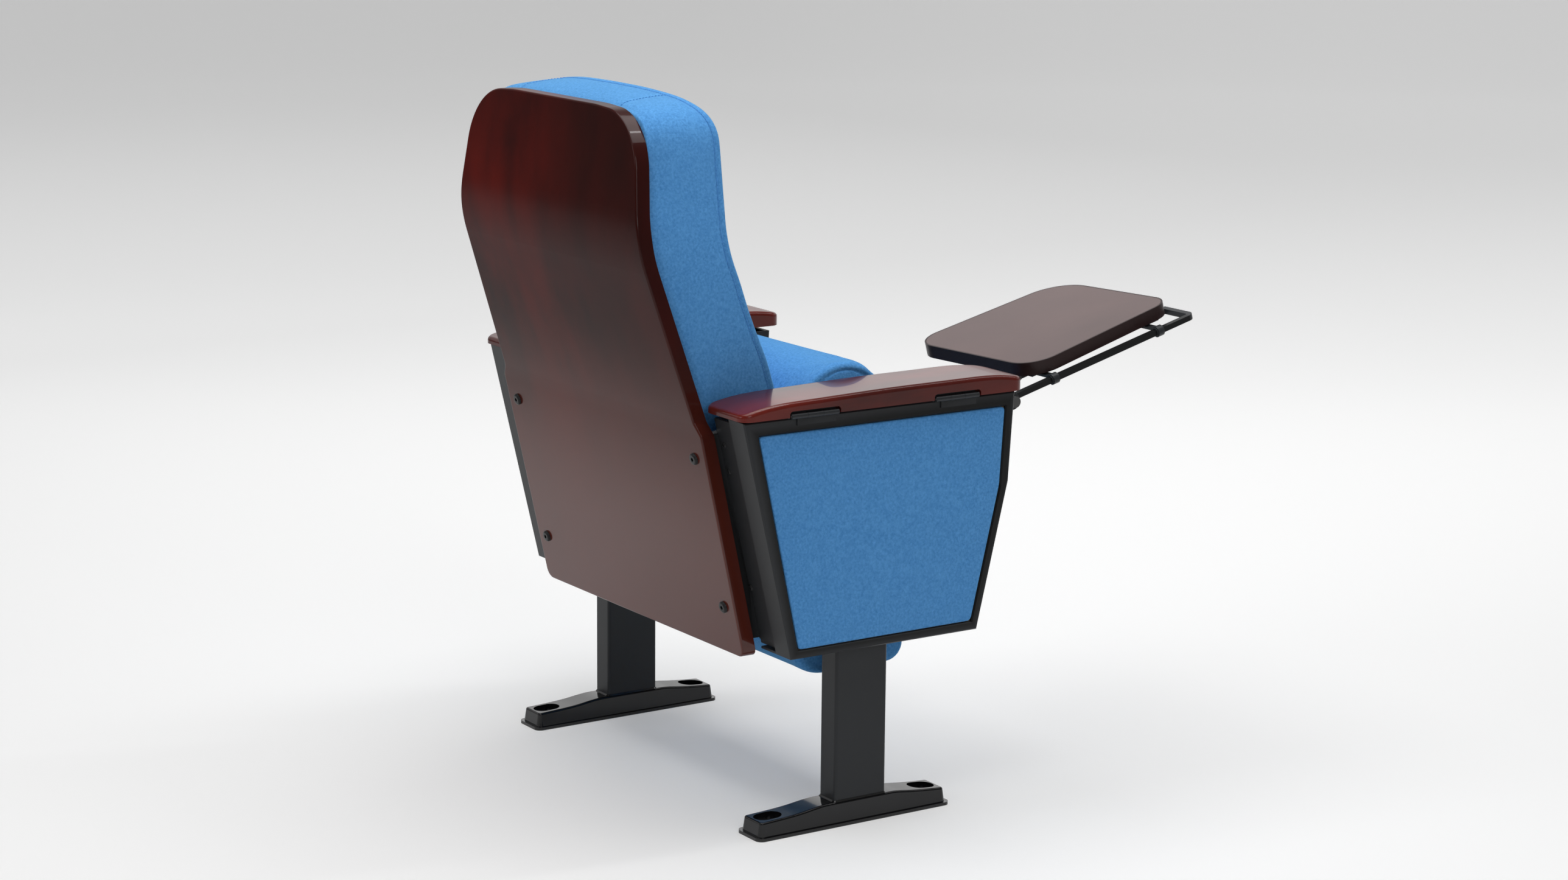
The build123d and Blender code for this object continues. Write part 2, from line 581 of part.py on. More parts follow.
def seat_section(x, draw, crown):
    """The seat's side profile at x, drawn in all round, its sitting face bowed by crown."""
    face_top, face_low = SEAT_FACE_TOP - draw, SEAT_FACE_LOW - draw
    under_top, under_low = SEAT_UNDER_TOP + draw, SEAT_UNDER_LOW + draw
    bottom, top = SEAT_BOTTOM + draw, ROLL_TOP - draw
    roll_y = (face_top + under_top) / 2
    rise = top - ROLL_Z
    half = (face_top - under_top) / 2
    big, small = 50.0, 30.0
    face_mid = (face_top + face_low) / 2 + crown
    lean = 0.72
    edges = [Line((face_low - big, bottom), (under_low + small, bottom)),
             ThreePointArc((under_low + small, bottom), (under_low + small * 0.3, bottom + small * 0.3),
                           (under_low + 3, bottom + small)),
             Line((under_low + 3, bottom + small), (under_top, ROLL_Z)),
             ThreePointArc((under_top, ROLL_Z), (roll_y - half * lean, ROLL_Z + rise * 0.70), (roll_y, top)),
             ThreePointArc((roll_y, top), (roll_y + half * lean, ROLL_Z + rise * 0.70), (face_top, ROLL_Z)),
             ThreePointArc((face_top, ROLL_Z), (face_mid, (ROLL_Z + bottom + big) / 2),
                           (face_low, bottom + big)),
             ThreePointArc((face_low, bottom + big), (face_low - big * 0.29, bottom + big * 0.29),
                           (face_low - big, bottom))]
    return Plane.YZ.offset(x) * make_face(edges)


def make_seat_form():
    return loft([seat_section(*row) for row in SEAT_LEVELS], ruled=True)


def make_seat_cushions():
    """The sitting cushion with its frame cavity and shaft holes, and the padded under cover."""
    form = make_seat_form()
    upper = form & block(-260, 260, SPLIT_Y, 120, 150, 700)
    lower = form & block(-260, 260, -200, SPLIT_Y, 150, 700)
    upper -= block(*CAVITY)
    for side in (1, -1):
        hole = rod(17.5, 210, 260, PIVOT_Y, PIVOT_Z)
        pin_hole = rod(STOP_PIN_RADIUS + 2, 210, 260, PIVOT_Y, PIVOT_Z + STOP_RADIUS)
        for tool in (on_side(hole, side), on_side(pin_hole, side)):
            upper -= tool
            lower -= tool
    return upper, lower


def square_tube(x0, x1, y0, y1, z0, z1, wall, along):
    """A square tube filling the box between two corners, open at its ends along one axis."""
    grow = {"x": (1, -wall, -wall), "z": (-wall, -wall, 1)}[along]
    inner = block(x0 - grow[0], x1 + grow[0], y0 - grow[1], y1 + grow[1], z0 - grow[2], z1 + grow[2])
    return block(x0, x1, y0, y1, z0, z1) - inner


def make_seat_rails():
    return [on_side(square_tube(186, 206, -73, -48.5, 216, 548, 2.0, "z"), side) for side in (1, -1)]


def make_cross_tubes():
    return [square_tube(-186, 186, -71, -50, z, z + 21, 2.0, "x") for z in (236, 505)]


def make_seat_bracket():
    """Side plate with the seat's stop pin welded to it."""
    plate = block(206, 211, -74, -49, 285, 375)
    return plate + rod(STOP_PIN_RADIUS, 211, 264, PIVOT_Y, PIVOT_Z + STOP_RADIUS)


def make_seat_shaft():
    shaft = rod(SHAFT_RADIUS, 211, 299, PIVOT_Y, PIVOT_Z)
    shaft = chamfer(shaft.edges().group_by(Axis.X)[-1], 1)
    return shaft + rod(11, 211, 214, PIVOT_Y, PIVOT_Z)


# ---- writing tablet -----------------------------------------------------------------
def tablet_block(x0, x1, s0, s1, h0, h1):
    """A box in the tablet's own frame: s forward from its rear edge, h above its top."""
    return TABLET_PLANE.location * block(x0, x1, -s1, -s0, h0, h1)


def tablet_outline(inset):
    """The tablet seen from above: narrower in front, each corner with its own radius."""
    points = [(x, -s) for x, s in TABLET_OUTLINE]
    shape = make_face(FilletPolyline(*points, radius=TABLET_CORNERS, close=True))
    return shape if inset == 0 else offset(shape, -inset)


def tablet_slab(sketch, h0, h1):
    return TABLET_PLANE.location * Pos(0, 0, h0) * extrude(sketch, h1 - h0)


EDGE_BAND = 2.5


def make_tablet_board():
    return tablet_slab(tablet_outline(EDGE_BAND), -TABLET_THICKNESS, 0)


def make_edge_band():
    band = tablet_slab(tablet_outline(0) - tablet_outline(EDGE_BAND), -TABLET_THICKNESS, 0)
    return band


def tilt_pivot():
    """Where the arm's pivot line meets the plane x = 0, as (y, z)."""
    point = TABLET_PLANE.from_local_coords(Vector(0, -TILT_PIVOT, -ROD_DROP))
    return point.Y, point.Z


def make_rod_frame():
    """The bent square bar with its hub and the heel that stops it."""
    half = ROD_SIZE / 2
    low, high = -ROD_DROP - half, -ROD_DROP + half
    near_line = [(ROD_X, -TILT_PIVOT), (ROD_X, -ROD_FRONT), (ROD_INNER_X + half, -ROD_FRONT)]
    bent = trace(FilletPolyline(*near_line, radius=7.0), line_width=ROD_SIZE)
    near = tablet_slab(bent, low, high)
    inner = tablet_block(ROD_INNER_X - half, ROD_INNER_X + half, 16, ROD_FRONT, low, high)
    jog = polygon([(ROD_INNER_X + half, -15), (ROD_INNER_X + half, -19), (ROD_INNER_X - half, -19),
                   (-281, 44), (-273, 44)])
    jog = tablet_slab(jog, low, high)
    y, z = tilt_pivot()
    hub = rod(9.0, -305, -269, y, z)
    heel = block(-296, -278, y - 5, -250.6, z - 24, z)
    frame = near + inner + jog + hub + heel
    return frame - rod(5.08, -400, -200, y, z)


def front_wall(z, inset):
    """The y of the stand's front face above its kink, drawn in by inset."""
    (y0, z0), (y1, z1) = BOX_OUTLINE[3], BOX_OUTLINE[4]
    return y0 + (z - z0) * (y1 - y0) / (z1 - z0) + inset


def make_clevis():
    """The cast bracket on the front of the right arm box that carries the tablet's arm."""
    y, z = tilt_pivot()
    base = []
    for x0, x1, inset in ((-318, -FRAME_X, 0.0), (-FRAME_X, -258, SHELL_INSET)):
        outline = polygon([(front_wall(516, inset), 516), (-250.2, 516), (-250.2, 572),
                           (front_wall(572, inset), 572)])
        base.append(prism(outline, x0, x1))
    ears = []
    for x0, x1 in ((-312, -306), (-268, -262)):
        ears.append(rod(12, x0, x1, y, z) + block(x0, x1, y, -250.2, z - 12, z + 12))
    clevis = base[0] + base[1] + ears[0] + ears[1]
    return clevis - rod(5.0, -400, -200, y, z)


def make_tilt_pin():
    y, z = tilt_pivot()
    return rod(5.0, -316, -258, y, z) + rod(8, -319, -316, y, z) + rod(8, -258, -255, y, z)


def make_tilt_washers():
    y, z = tilt_pivot()
    return [rod(9, x, x + 0.8, y, z) - rod(5.08, x - 1, x + 2, y, z) for x in (-305.9, -268.9)]


def make_clevis_screws():
    screws = []
    for x in (-294.0, -270.0):
        place = Plane(origin=(x, -250.2, 524), x_dir=(1, 0, 0), z_dir=(0, -1, 0))
        screws.append(place.location * domed_screw(4.2, 2.4, 2.5, 18.0))
    return screws


def along_rod(radius, s0, s1):
    """A round bar on the line that the tablet flips about."""
    bar = Pos(ROD_X, -(s0 + s1) / 2, -ROD_DROP) * Rot(90, 0, 0) * Cylinder(radius, s1 - s0)
    return TABLET_PLANE.location * bar


def make_flip_collars():
    half = ROD_SIZE / 2
    square = tablet_block(ROD_X - half, ROD_X + half, 0, 300, -ROD_DROP - half, -ROD_DROP + half)
    return [along_rod(6.2, s - 6.5, s + 6.5) - square for s in CLIP_PLACES]


def make_tablet_clips():
    clips = []
    for s in CLIP_PLACES:
        web = tablet_block(ROD_X + 5, ROD_X + 42, s - 5, s + 5, -25.5, -22)
        clips.append(along_rod(7.9, s - 5, s + 5) + web - along_rod(6.26, s - 10, s + 10))
    return clips


def make_under_rail():
    return tablet_block(ROD_X + 24, ROD_X + 46, 16, 248, -22, -TABLET_THICKNESS)


def make_rest_pads():
    half = ROD_SIZE / 2
    return [tablet_block(ROD_INNER_X - half, ROD_INNER_X + half, s - 10, s + 10, -ROD_DROP + half,
                         -TABLET_THICKNESS - 0.3) for s in (70, 200)]


# ---- assembly -----------------------------------------------------------------------
def drill(shape, tools):
    """Clear the holes that these fasteners sit in."""
    for tool in tools:
        shape = shape - tool
    return shape


def build_parts():
    parts = {}
    cover_screws = make_cover_screws()
    housing_screws = make_housing_screws()
    bracket_screws = make_bracket_screws()
    cap_screws = make_cap_screws()
    clevis_screws = [mirror(screw, about=Plane.YZ) for screw in make_clevis_screws()]
    for name, side in SIDES.items():
        shell = drill(make_box_shell(), cover_screws + housing_screws + bracket_screws)
        frame = make_outer_frame()
        if name == "left":
            frame = drill(frame, cap_screws)
        else:
            shell = drill(shell, clevis_screws)
        pieces = {
            "foot": make_foot(),
            "column": make_column(),
            "outer_frame": frame,
            "box_shell": shell,
            "fabric_panel": make_fabric_panel(),
            "panel_board": make_panel_board(),
            "rear_cover": drill(make_rear_cover(), cover_screws),
            "pivot_housing": drill(make_pivot_housing(), housing_screws),
            "return_spring": make_return_spring(),
            "back_brackets": Compound(children=[
                drill(plate, bracket_screws + make_back_bolts()) for plate in make_back_bracket()]),
            "seat_bracket": make_seat_bracket(),
            "seat_shaft": make_seat_shaft(),
        }
        for piece, shape in pieces.items():
            parts[f"{name}_{piece}"] = on_side(shape, side)
    add_groups(parts, cover_screws, housing_screws, bracket_screws)
    add_caps(parts, cap_screws)
    add_back(parts)
    add_seat(parts)
    add_tablet(parts)
    return parts


def add_groups(parts, cover_screws, housing_screws, bracket_screws):
    groups = {"cover_screws": cover_screws, "housing_screws": housing_screws,
              "bracket_screws": bracket_screws, "stop_buffers": make_stop_buffers(),
              "pivot_bushes": [make_pivot_bush()], "cap_packers": make_cap_packers()}
    for name, pieces in groups.items():
        mirrored = [on_side(piece, side) for side in (1, -1) for piece in pieces]
        parts[name] = Compound(children=mirrored)


def add_caps(parts, cap_screws):
    fixed, moving, pins = make_cap_hinges()
    cap = make_cap()
    right = drill(cap, [hinge_recess(*span) for span in HINGE_SPANS])
    parts["right_cap"] = on_side(right, -1)
    parts["left_cap"] = drill(cap, cap_screws)
    parts["cap_screws"] = Compound(children=cap_screws)
    parts["hinge_fixed_leaves"] = Compound(children=[on_side(leaf, -1) for leaf in fixed])
    parts["hinge_moving_leaves"] = Compound(children=[on_side(leaf, -1) for leaf in moving])
    parts["hinge_pins"] = Compound(children=[on_side(pin, -1) for pin in pins])


def add_back(parts):
    bolts = make_back_bolts()
    parts["back_board"] = drill(make_back_board(), bolts)
    parts["back_core"] = make_back_core()
    parts["back_cushion"] = make_back_cushion()
    parts["back_bolts"] = Compound(children=bolts)
    parts["back_nuts"] = Compound(children=make_back_nuts())


def add_seat(parts):
    upper, lower = make_seat_cushions()
    parts["seat_cushion"] = upper
    parts["seat_under_cover"] = lower
    parts["seat_board"] = block(-205, 205, -48.5, -36.5, 216, 548)
    parts["seat_rails"] = Compound(children=make_seat_rails())
    parts["seat_cross_tubes"] = Compound(children=make_cross_tubes())


def add_tablet(parts):
    screws = make_clevis_screws()
    parts["tablet_board"] = make_tablet_board()
    parts["tablet_edge_band"] = make_edge_band()
    parts["tablet_under_rail"] = make_under_rail()
    parts["tablet_clips"] = Compound(children=make_tablet_clips())
    parts["tablet_rod_frame"] = make_rod_frame()
    parts["flip_collars"] = Compound(children=make_flip_collars())
    parts["tablet_rest_pads"] = Compound(children=make_rest_pads())
    parts["tablet_clevis"] = drill(make_clevis(), screws)
    parts["clevis_screws"] = Compound(children=screws)
    parts["tilt_pin"] = make_tilt_pin()
    parts["tilt_washers"] = Compound(children=make_tilt_washers())


def main():
    os.makedirs("parts", exist_ok=True)
    for name, shape in build_parts().items():
        export_step(shape, f"parts/{name}.step")
    y, z = tilt_pivot()
    print("arm pivot y", round(y, 2), "z", round(z, 2))


main()
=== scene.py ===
import bpy
import bmesh
import json
from math import atan2, cos, exp, pi, radians, sin, tanh
from mathutils import Matrix, Vector
from mathutils.kdtree import KDTree


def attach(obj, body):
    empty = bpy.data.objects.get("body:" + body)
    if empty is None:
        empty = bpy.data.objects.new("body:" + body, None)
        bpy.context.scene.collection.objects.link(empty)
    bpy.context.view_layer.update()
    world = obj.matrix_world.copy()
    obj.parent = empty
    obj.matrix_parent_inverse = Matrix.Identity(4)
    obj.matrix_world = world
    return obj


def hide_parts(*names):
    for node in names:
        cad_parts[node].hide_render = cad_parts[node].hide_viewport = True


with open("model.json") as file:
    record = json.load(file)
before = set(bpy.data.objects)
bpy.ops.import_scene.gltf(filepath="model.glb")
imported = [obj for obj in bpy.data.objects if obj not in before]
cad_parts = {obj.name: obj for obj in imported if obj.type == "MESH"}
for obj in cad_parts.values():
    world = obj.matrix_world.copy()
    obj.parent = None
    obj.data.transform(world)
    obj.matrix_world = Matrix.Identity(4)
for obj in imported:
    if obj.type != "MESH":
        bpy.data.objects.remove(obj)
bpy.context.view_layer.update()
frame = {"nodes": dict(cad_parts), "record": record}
NODES = frame["nodes"]

# Tip up auditorium seat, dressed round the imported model. Metres, +Z up; the sitter faces -Y
# and the sitter's right, with the writing tablet, is -X.

MM = 0.001


# ---- camera, floor and light --------------------------------------------------------
VIEW_AZIMUTH = -123.61
VIEW_ELEVATION = 11.75
VIEW_ROLL = 0.57
VIEW_DISTANCE = 4.6056
VIEW_TARGET = Vector((-0.0434, -0.0653, 0.4722))
LENS = 75.2
SENSOR = 36.0


def make_camera():
    """The photographed view."""
    azimuth, elevation, roll = (radians(v) for v in (VIEW_AZIMUTH, VIEW_ELEVATION, VIEW_ROLL))
    back = Vector((sin(azimuth) * cos(elevation), -cos(azimuth) * cos(elevation), sin(elevation)))
    right = (-back).cross(Vector((0, 0, 1))).normalized()
    up = right.cross(-back)
    turned_right = right * cos(roll) + up * sin(roll)
    turned_up = up * cos(roll) - right * sin(roll)
    data = bpy.data.cameras.new("view")
    data.lens = LENS
    data.sensor_width = SENSOR
    camera = bpy.data.objects.new("view", data)
    turn = Matrix((turned_right, turned_up, back)).transposed().to_4x4()
    camera.matrix_world = Matrix.Translation(VIEW_TARGET + back * VIEW_DISTANCE) @ turn
    bpy.context.scene.collection.objects.link(camera)
    bpy.context.scene.camera = camera


def horizontal_axes():
    """Unit directions on the floor: away from the camera, and towards its right."""
    azimuth = radians(VIEW_AZIMUTH)
    away = Vector((-sin(azimuth), cos(azimuth), 0))
    return away, Vector((away.y, -away.x, 0))


FLOOR_RADIUS = 14.0
WALL_HEIGHT, WALL_CURVE = 9.0, 4.0
FLOOR_SIDES = 96
CURVE_STEPS = 24


def floor_line():
    """The floor's profile from its middle outwards, as (reach, height) pairs."""
    line = [(0.0, 0.0)]
    for i in range(CURVE_STEPS + 1):
        angle = i / CURVE_STEPS * pi / 2
        line.append((FLOOR_RADIUS - WALL_CURVE + WALL_CURVE * sin(angle),
                     WALL_CURVE - WALL_CURVE * cos(angle)))
    return line + [(FLOOR_RADIUS, WALL_HEIGHT)]


def make_floor(material):
    """A round sheet of pale studio paper, curving up far away on every side."""
    rings = floor_line()[1:]
    verts = [Vector((0, 0, 0))]
    for reach, height in rings:
        for k in range(FLOOR_SIDES):
            angle = 2 * pi * k / FLOOR_SIDES
            verts.append(Vector((reach * cos(angle), reach * sin(angle), height)))
    faces = []
    for k in range(FLOOR_SIDES):
        after = (k + 1) % FLOOR_SIDES
        faces.append((0, 1 + k, 1 + after))
        for ring in range(len(rings) - 1):
            a = 1 + ring * FLOOR_SIDES
            faces.append((a + k, a + FLOOR_SIDES + k, a + FLOOR_SIDES + after, a + after))
    mesh = bpy.data.meshes.new("studio_floor")
    mesh.from_pydata(verts, [], faces)
    for face in mesh.polygons:
        face.use_smooth = True
    floor = bpy.data.objects.new("studio_floor", mesh)
    bpy.context.scene.collection.objects.link(floor)
    mesh.materials.append(material)


# The glow near the seat, far from it, up on the wall, and what its height adds.
GLOW_NEAR, GLOW_FAR, GLOW_WALL, GLOW_LIFT = 0.24, 0.52, 0.82, 0.55
AMBIENT = 0.10


def floor_reach(tree, place):
    """Distance from the upright line through the seat's middle."""
    level = vector_node(tree, "MULTIPLY", place, (1, 1, 0))
    return vector_node(tree, "LENGTH", level.outputs[0]).outputs["Value"]


def backdrop_glow(tree):
    """How brightly the backdrop glows in reflections, and as the camera sees it."""
    place = tree.nodes.new("ShaderNodeNewGeometry").outputs["Position"]
    away, right = horizontal_axes()
    along, across = dot_with(tree, place, away), dot_with(tree, place, right)
    reach = floor_reach(tree, place)

    def ramp(value, *limits):
        return map_range(tree, value, *limits)

    # It rises behind the seat, and dims on the wall, before the seat and far to either side.
    glow = product(tree, ramp(along, -0.2, 2.8, GLOW_NEAR, GLOW_FAR),
                   ramp(along, 3.5, 8.0, 1.0, GLOW_WALL), ramp(along, -3.0, -0.8, 0.2, 1.0),
                   ramp(across, -8.0, -3.0, 0.1, 1.0), ramp(across, 5.0, 11.0, 1.0, 0.3),
                   ramp(across, -3.0, 3.0, 0.92, 1.12))
    lift = ramp(dot_with(tree, place, (0, 0, 1)), 0.8, 4.0, 0.0, GLOW_LIFT)
    glow = math_node(tree, "ADD", glow, product(tree, lift, ramp(along, -1.0, 3.0, 0.0, 1.0)))
    # Seen from other sides the backdrop is as bright as behind the seat.
    round_glow = product(tree, ramp(reach, 0.9, 4.2, GLOW_NEAR, GLOW_FAR),
                         ramp(reach, 5.0, 10.0, 1.0, GLOW_WALL))
    seen = math_node(tree, "MAXIMUM", glow, math_node(tree, "ADD", round_glow, lift))
    return glow, seen


def make_paper():
    """Matt paper, with the glow of a lit backdrop that starts nearer behind the seat."""
    material = new_material("studio_paper")
    set_inputs(material, {"Base Color": grey(0.80), "Roughness": 0.6, "Specular IOR Level": 0.15,
                          "Emission Color": grey(1.0)})
    tree = material.node_tree
    glow, seen = backdrop_glow(tree)
    rays = tree.nodes.new("ShaderNodeLightPath").outputs
    mirror = math_node(tree, "ADD", rays["Is Glossy Ray"], rays["Is Transmission Ray"])
    mirrored = product(tree, math_node(tree, "MINIMUM", mirror, 1.0), glow)
    strength = math_node(tree, "ADD", product(tree, rays["Is Camera Ray"], seen), mirrored)
    tree.links.new(strength, shader_of(material).inputs["Emission Strength"])
    return material


def soft_box(name, place, aim, size, power):
    """A rectangular lamp at place that points at aim."""
    data = bpy.data.lights.new(name, "AREA")
    data.shape = "RECTANGLE"
    data.size, data.size_y = size
    data.energy = power
    light = bpy.data.objects.new(name, data)
    light.location = place
    light.rotation_euler = (Vector(aim) - Vector(place)).to_track_quat("-Z", "Y").to_euler()
    bpy.context.scene.collection.objects.link(light)


def make_lights():
    world = bpy.data.worlds.new("studio")
    world.use_nodes = True
    world.node_tree.nodes["Background"].inputs["Color"].default_value = (1.0, 1.0, 0.995, 1)
    world.node_tree.nodes["Background"].inputs["Strength"].default_value = AMBIENT
    bpy.context.scene.world = world
    soft_box("overhead", (0.0, 0.1, 3.4), (0, 0, 0.4), (3.2, 3.2), 90)
    soft_box("side", (-4.2, 0.9, 2.6), (0, 0, 0.5), (2.2, 2.4), 36)
    soft_box("behind", (0.8, 4.2, 2.4), (0, 0, 0.6), (2.0, 1.4), 24)
    soft_box("edge_strip", (-0.7, -1.9, 3.3), (-0.3, 0.0, 0.6), (0.16, 2.2), 14)


# ---- materials ----------------------------------------------------------------------
def new_material(name):
    material = bpy.data.materials.new(name)
    material.use_nodes = True
    return material


def shader_of(material):
    return material.node_tree.nodes["Principled BSDF"]


def set_inputs(material, values):
    for name, value in values.items():
        shader_of(material).inputs[name].default_value = value


def add_node(tree, kind, **inputs):
    node = tree.nodes.new(kind)
    for name, value in inputs.items():
        node.inputs[name.replace("_", " ")].default_value = value
    return node


def new_group(name, inputs, outputs):
    """A node group with float or colour inputs and outputs, and its two end nodes."""
    group = bpy.data.node_groups.new(name, "ShaderNodeTree")
    kinds = {"color": "NodeSocketColor", "float": "NodeSocketFloat", "vector": "NodeSocketVector"}
    for label, (kind, value) in inputs.items():
        socket = group.interface.new_socket(label, in_out="INPUT", socket_type=kinds[kind])
        socket.default_value = value
    for label, kind in outputs.items():
        group.interface.new_socket(label, in_out="OUTPUT", socket_type=kinds[kind])
    start = group.nodes.new("NodeGroupInput")
    end = group.nodes.new("NodeGroupOutput")
    return group, start, end


def math_node(tree, operation, a, b):
    """A Math node; a and b are sockets or numbers."""
    node = tree.nodes.new("ShaderNodeMath")
    node.operation = operation
    for socket, value in zip(node.inputs, (a, b)):
        if isinstance(value, (int, float)):
            socket.default_value = value
        else:
            tree.links.new(value, socket)
    return node.outputs[0]


def product(tree, first, *others):
    """The product of sockets and numbers, of which the first is a socket."""
    for other in others:
        first = math_node(tree, "MULTIPLY", first, other)
    return first


def weighted_sum(tree, *terms):
    """The sum of (socket, weight) terms."""
    total, *rest = [math_node(tree, "MULTIPLY", value, weight) for value, weight in terms]
    for term in rest:
        total = math_node(tree, "ADD", total, term)
    return total


def vector_node(tree, operation, vector, other=None):
    """A Vector Math node of a socket, and of a fixed vector where it takes two."""
    node = tree.nodes.new("ShaderNodeVectorMath")
    node.operation = operation
    tree.links.new(vector, node.inputs[0])
    if other:
        node.inputs[1].default_value = other
    return node


def dot_with(tree, vector, direction):
    return vector_node(tree, "DOT_PRODUCT", vector, direction).outputs["Value"]


def map_range(tree, value, low, high, to_low, to_high):
    """A smooth ramp from to_low where value is low to to_high where it is high."""
    node = add_node(tree, "ShaderNodeMapRange", From_Min=low, From_Max=high, To_Min=to_low,
                    To_Max=to_high)
    node.interpolation_type = "SMOOTHSTEP"
    tree.links.new(value, node.inputs["Value"])
    return node.outputs["Result"]


def mix_colors(tree, factor, a, b):
    node = tree.nodes.new("ShaderNodeMix")
    node.data_type = "RGBA"
    for socket, value in ((node.inputs[0], factor), (node.inputs[6], a), (node.inputs[7], b)):
        if isinstance(value, (int, float, tuple)):
            socket.default_value = value
        else:
            tree.links.new(value, socket)
    return node.outputs[2]


def noise_at(tree, vector, scale, detail, roughness=0.5):
    node = add_node(tree, "ShaderNodeTexNoise", Scale=scale, Detail=detail, Roughness=roughness)
    tree.links.new(vector, node.inputs["Vector"])
    return node.outputs["Fac"]


def ramp_of(tree, factor, stops):
    """A colour ramp through (position, colour) stops."""
    node = tree.nodes.new("ShaderNodeValToRGB")
    elements = node.color_ramp.elements
    while len(elements) < len(stops):
        elements.new(0.5)
    for element, (position, color) in zip(elements, stops):
        element.position = position
        element.color = color
    tree.links.new(factor, node.inputs["Fac"])
    return node.outputs["Color"]


def grey(value):
    return (value, value, value, 1)


WEAVE_RATE = 3800.0        # radians per metre: a yarn every 1.7 mm


def make_cloth_group():
    """Woven upholstery: fine yarns with a felted, slightly worn nap."""
    group, start, end = new_group(
        "woven_cloth",
        {"Position": ("vector", (0, 0, 0)), "Light Yarn": ("color", (0.1, 0.28, 0.6, 1)),
         "Dark Yarn": ("color", (0.05, 0.16, 0.42, 1))},
        {"Color": "color", "Height": "float", "Roughness": "float"})
    position = start.outputs["Position"]
    nap = noise_at(group, position, 900.0, 3.0, 0.7)
    fuzz = noise_at(group, position, 300.0, 3.0, 0.6)
    cloud = noise_at(group, position, 34.0, 4.0, 0.6)
    broad = noise_at(group, position, 5.0, 2.0, 0.5)
    split = group.nodes.new("ShaderNodeSeparateXYZ")
    group.links.new(position, split.inputs[0])
    waves = []
    for a, b in ((0, 1), (1, 2), (2, 0)):
        diagonal = math_node(group, "ADD", split.outputs[a], split.outputs[b])
        waves.append(math_node(group, "SINE", product(group, diagonal, WEAVE_RATE), 0.0))
    weave = math_node(group, "ADD", product(group, waves[0], waves[1]), waves[2])
    swirl = math_node(group, "ABSOLUTE", math_node(group, "SUBTRACT", cloud, 0.5), 0.0)
    tone = weighted_sum(group, (nap, 0.60), (fuzz, 1.35), (broad, 0.16), (swirl, 0.264),
                        (weave, 0.05))
    color = mix_colors(group, math_node(group, "SUBTRACT", tone, 0.60),
                       start.outputs["Dark Yarn"], start.outputs["Light Yarn"])
    height = weighted_sum(group, (weave, 0.16), (nap, 1.0), (fuzz, 1.2))
    rough = math_node(group, "ADD", product(group, fuzz, 0.2), 0.74)
    group.links.new(color, end.inputs["Color"])
    group.links.new(height, end.inputs["Height"])
    group.links.new(rough, end.inputs["Roughness"])
    return group


def make_wear_group():
    """Where a coated edge has worn, and where dust and handling change the gloss."""
    group, start, end = new_group(
        "handling_wear",
        {"Position": ("vector", (0, 0, 0)), "Base Roughness": ("float", 0.4),
         "Spread": ("float", 0.08), "Grain": ("float", 900.0)},
        {"Roughness": "float", "Height": "float", "Edge": "float"})
    position = start.outputs["Position"]
    smear = noise_at(group, position, 7.0, 5.0, 0.6)
    fine = add_node(group, "ShaderNodeTexNoise", Detail=2.0)
    group.links.new(position, fine.inputs["Vector"])
    group.links.new(start.outputs["Grain"], fine.inputs["Scale"])
    swing = math_node(group, "SUBTRACT", smear, 0.5)
    rough = math_node(group, "ADD", start.outputs["Base Roughness"],
                      product(group, swing, start.outputs["Spread"], 2.0))
    geometry = group.nodes.new("ShaderNodeNewGeometry")
    edge = ramp_of(group, geometry.outputs["Pointiness"], [(0.52, grey(0)), (0.58, grey(1))])
    group.links.new(rough, end.inputs["Roughness"])
    group.links.new(fine.outputs["Fac"], end.inputs["Height"])
    group.links.new(edge, end.inputs["Edge"])
    return group


def make_figure_group():
    """Blotchy mahogany figure: long soft streaks along the grain under a dark stain."""
    group, start, end = new_group(
        "mahogany_figure",
        {"Position": ("vector", (0, 0, 0)), "Along X": ("float", 3.0), "Along Y": ("float", 3.0),
         "Along Z": ("float", 1.0), "Red": ("color", (0.16, 0.02, 0.012, 1)),
         "Dark": ("color", (0.03, 0.008, 0.006, 1))},
        {"Color": "color"})
    split = group.nodes.new("ShaderNodeSeparateXYZ")
    group.links.new(start.outputs["Position"], split.inputs[0])
    joined = group.nodes.new("ShaderNodeCombineXYZ")
    for i, label in enumerate(("Along X", "Along Y", "Along Z")):
        group.links.new(product(group, split.outputs[i], start.outputs[label]), joined.inputs[i])
    place = joined.outputs[0]
    tone = weighted_sum(group, (noise_at(group, place, 3.6, 2.0, 0.5), 2.1),
                        (noise_at(group, place, 14.0, 4.0, 0.6), 0.5),
                        (noise_at(group, place, 120.0, 3.0, 0.6), 0.10))
    color = mix_colors(group, math_node(group, "SUBTRACT", tone, 0.88),
                       start.outputs["Dark"], start.outputs["Red"])
    group.links.new(color, end.inputs["Color"])
    return group


def place_group(material, group, values):
    """Puts a node group in a material, fed by the object's own coordinates."""
    tree = material.node_tree
    node = tree.nodes.new("ShaderNodeGroup")
    node.node_tree = group
    place = tree.nodes.new("ShaderNodeTexCoord")
    tree.links.new(place.outputs["Object"], node.inputs["Position"])
    for label, value in values.items():
        node.inputs[label].default_value = value
    return node


def link_bump(material, height, strength, distance):
    tree = material.node_tree
    bump = add_node(tree, "ShaderNodeBump", Strength=strength, Distance=distance)
    tree.links.new(height, bump.inputs["Height"])
    tree.links.new(bump.outputs["Normal"], shader_of(material).inputs["Normal"])


def link_finish(material, color, roughness):
    """Feeds the shader's colour and roughness."""
    tree, shader = material.node_tree, shader_of(material)
    tree.links.new(color, shader.inputs["Base Color"])
    tree.links.new(roughness, shader.inputs["Roughness"])


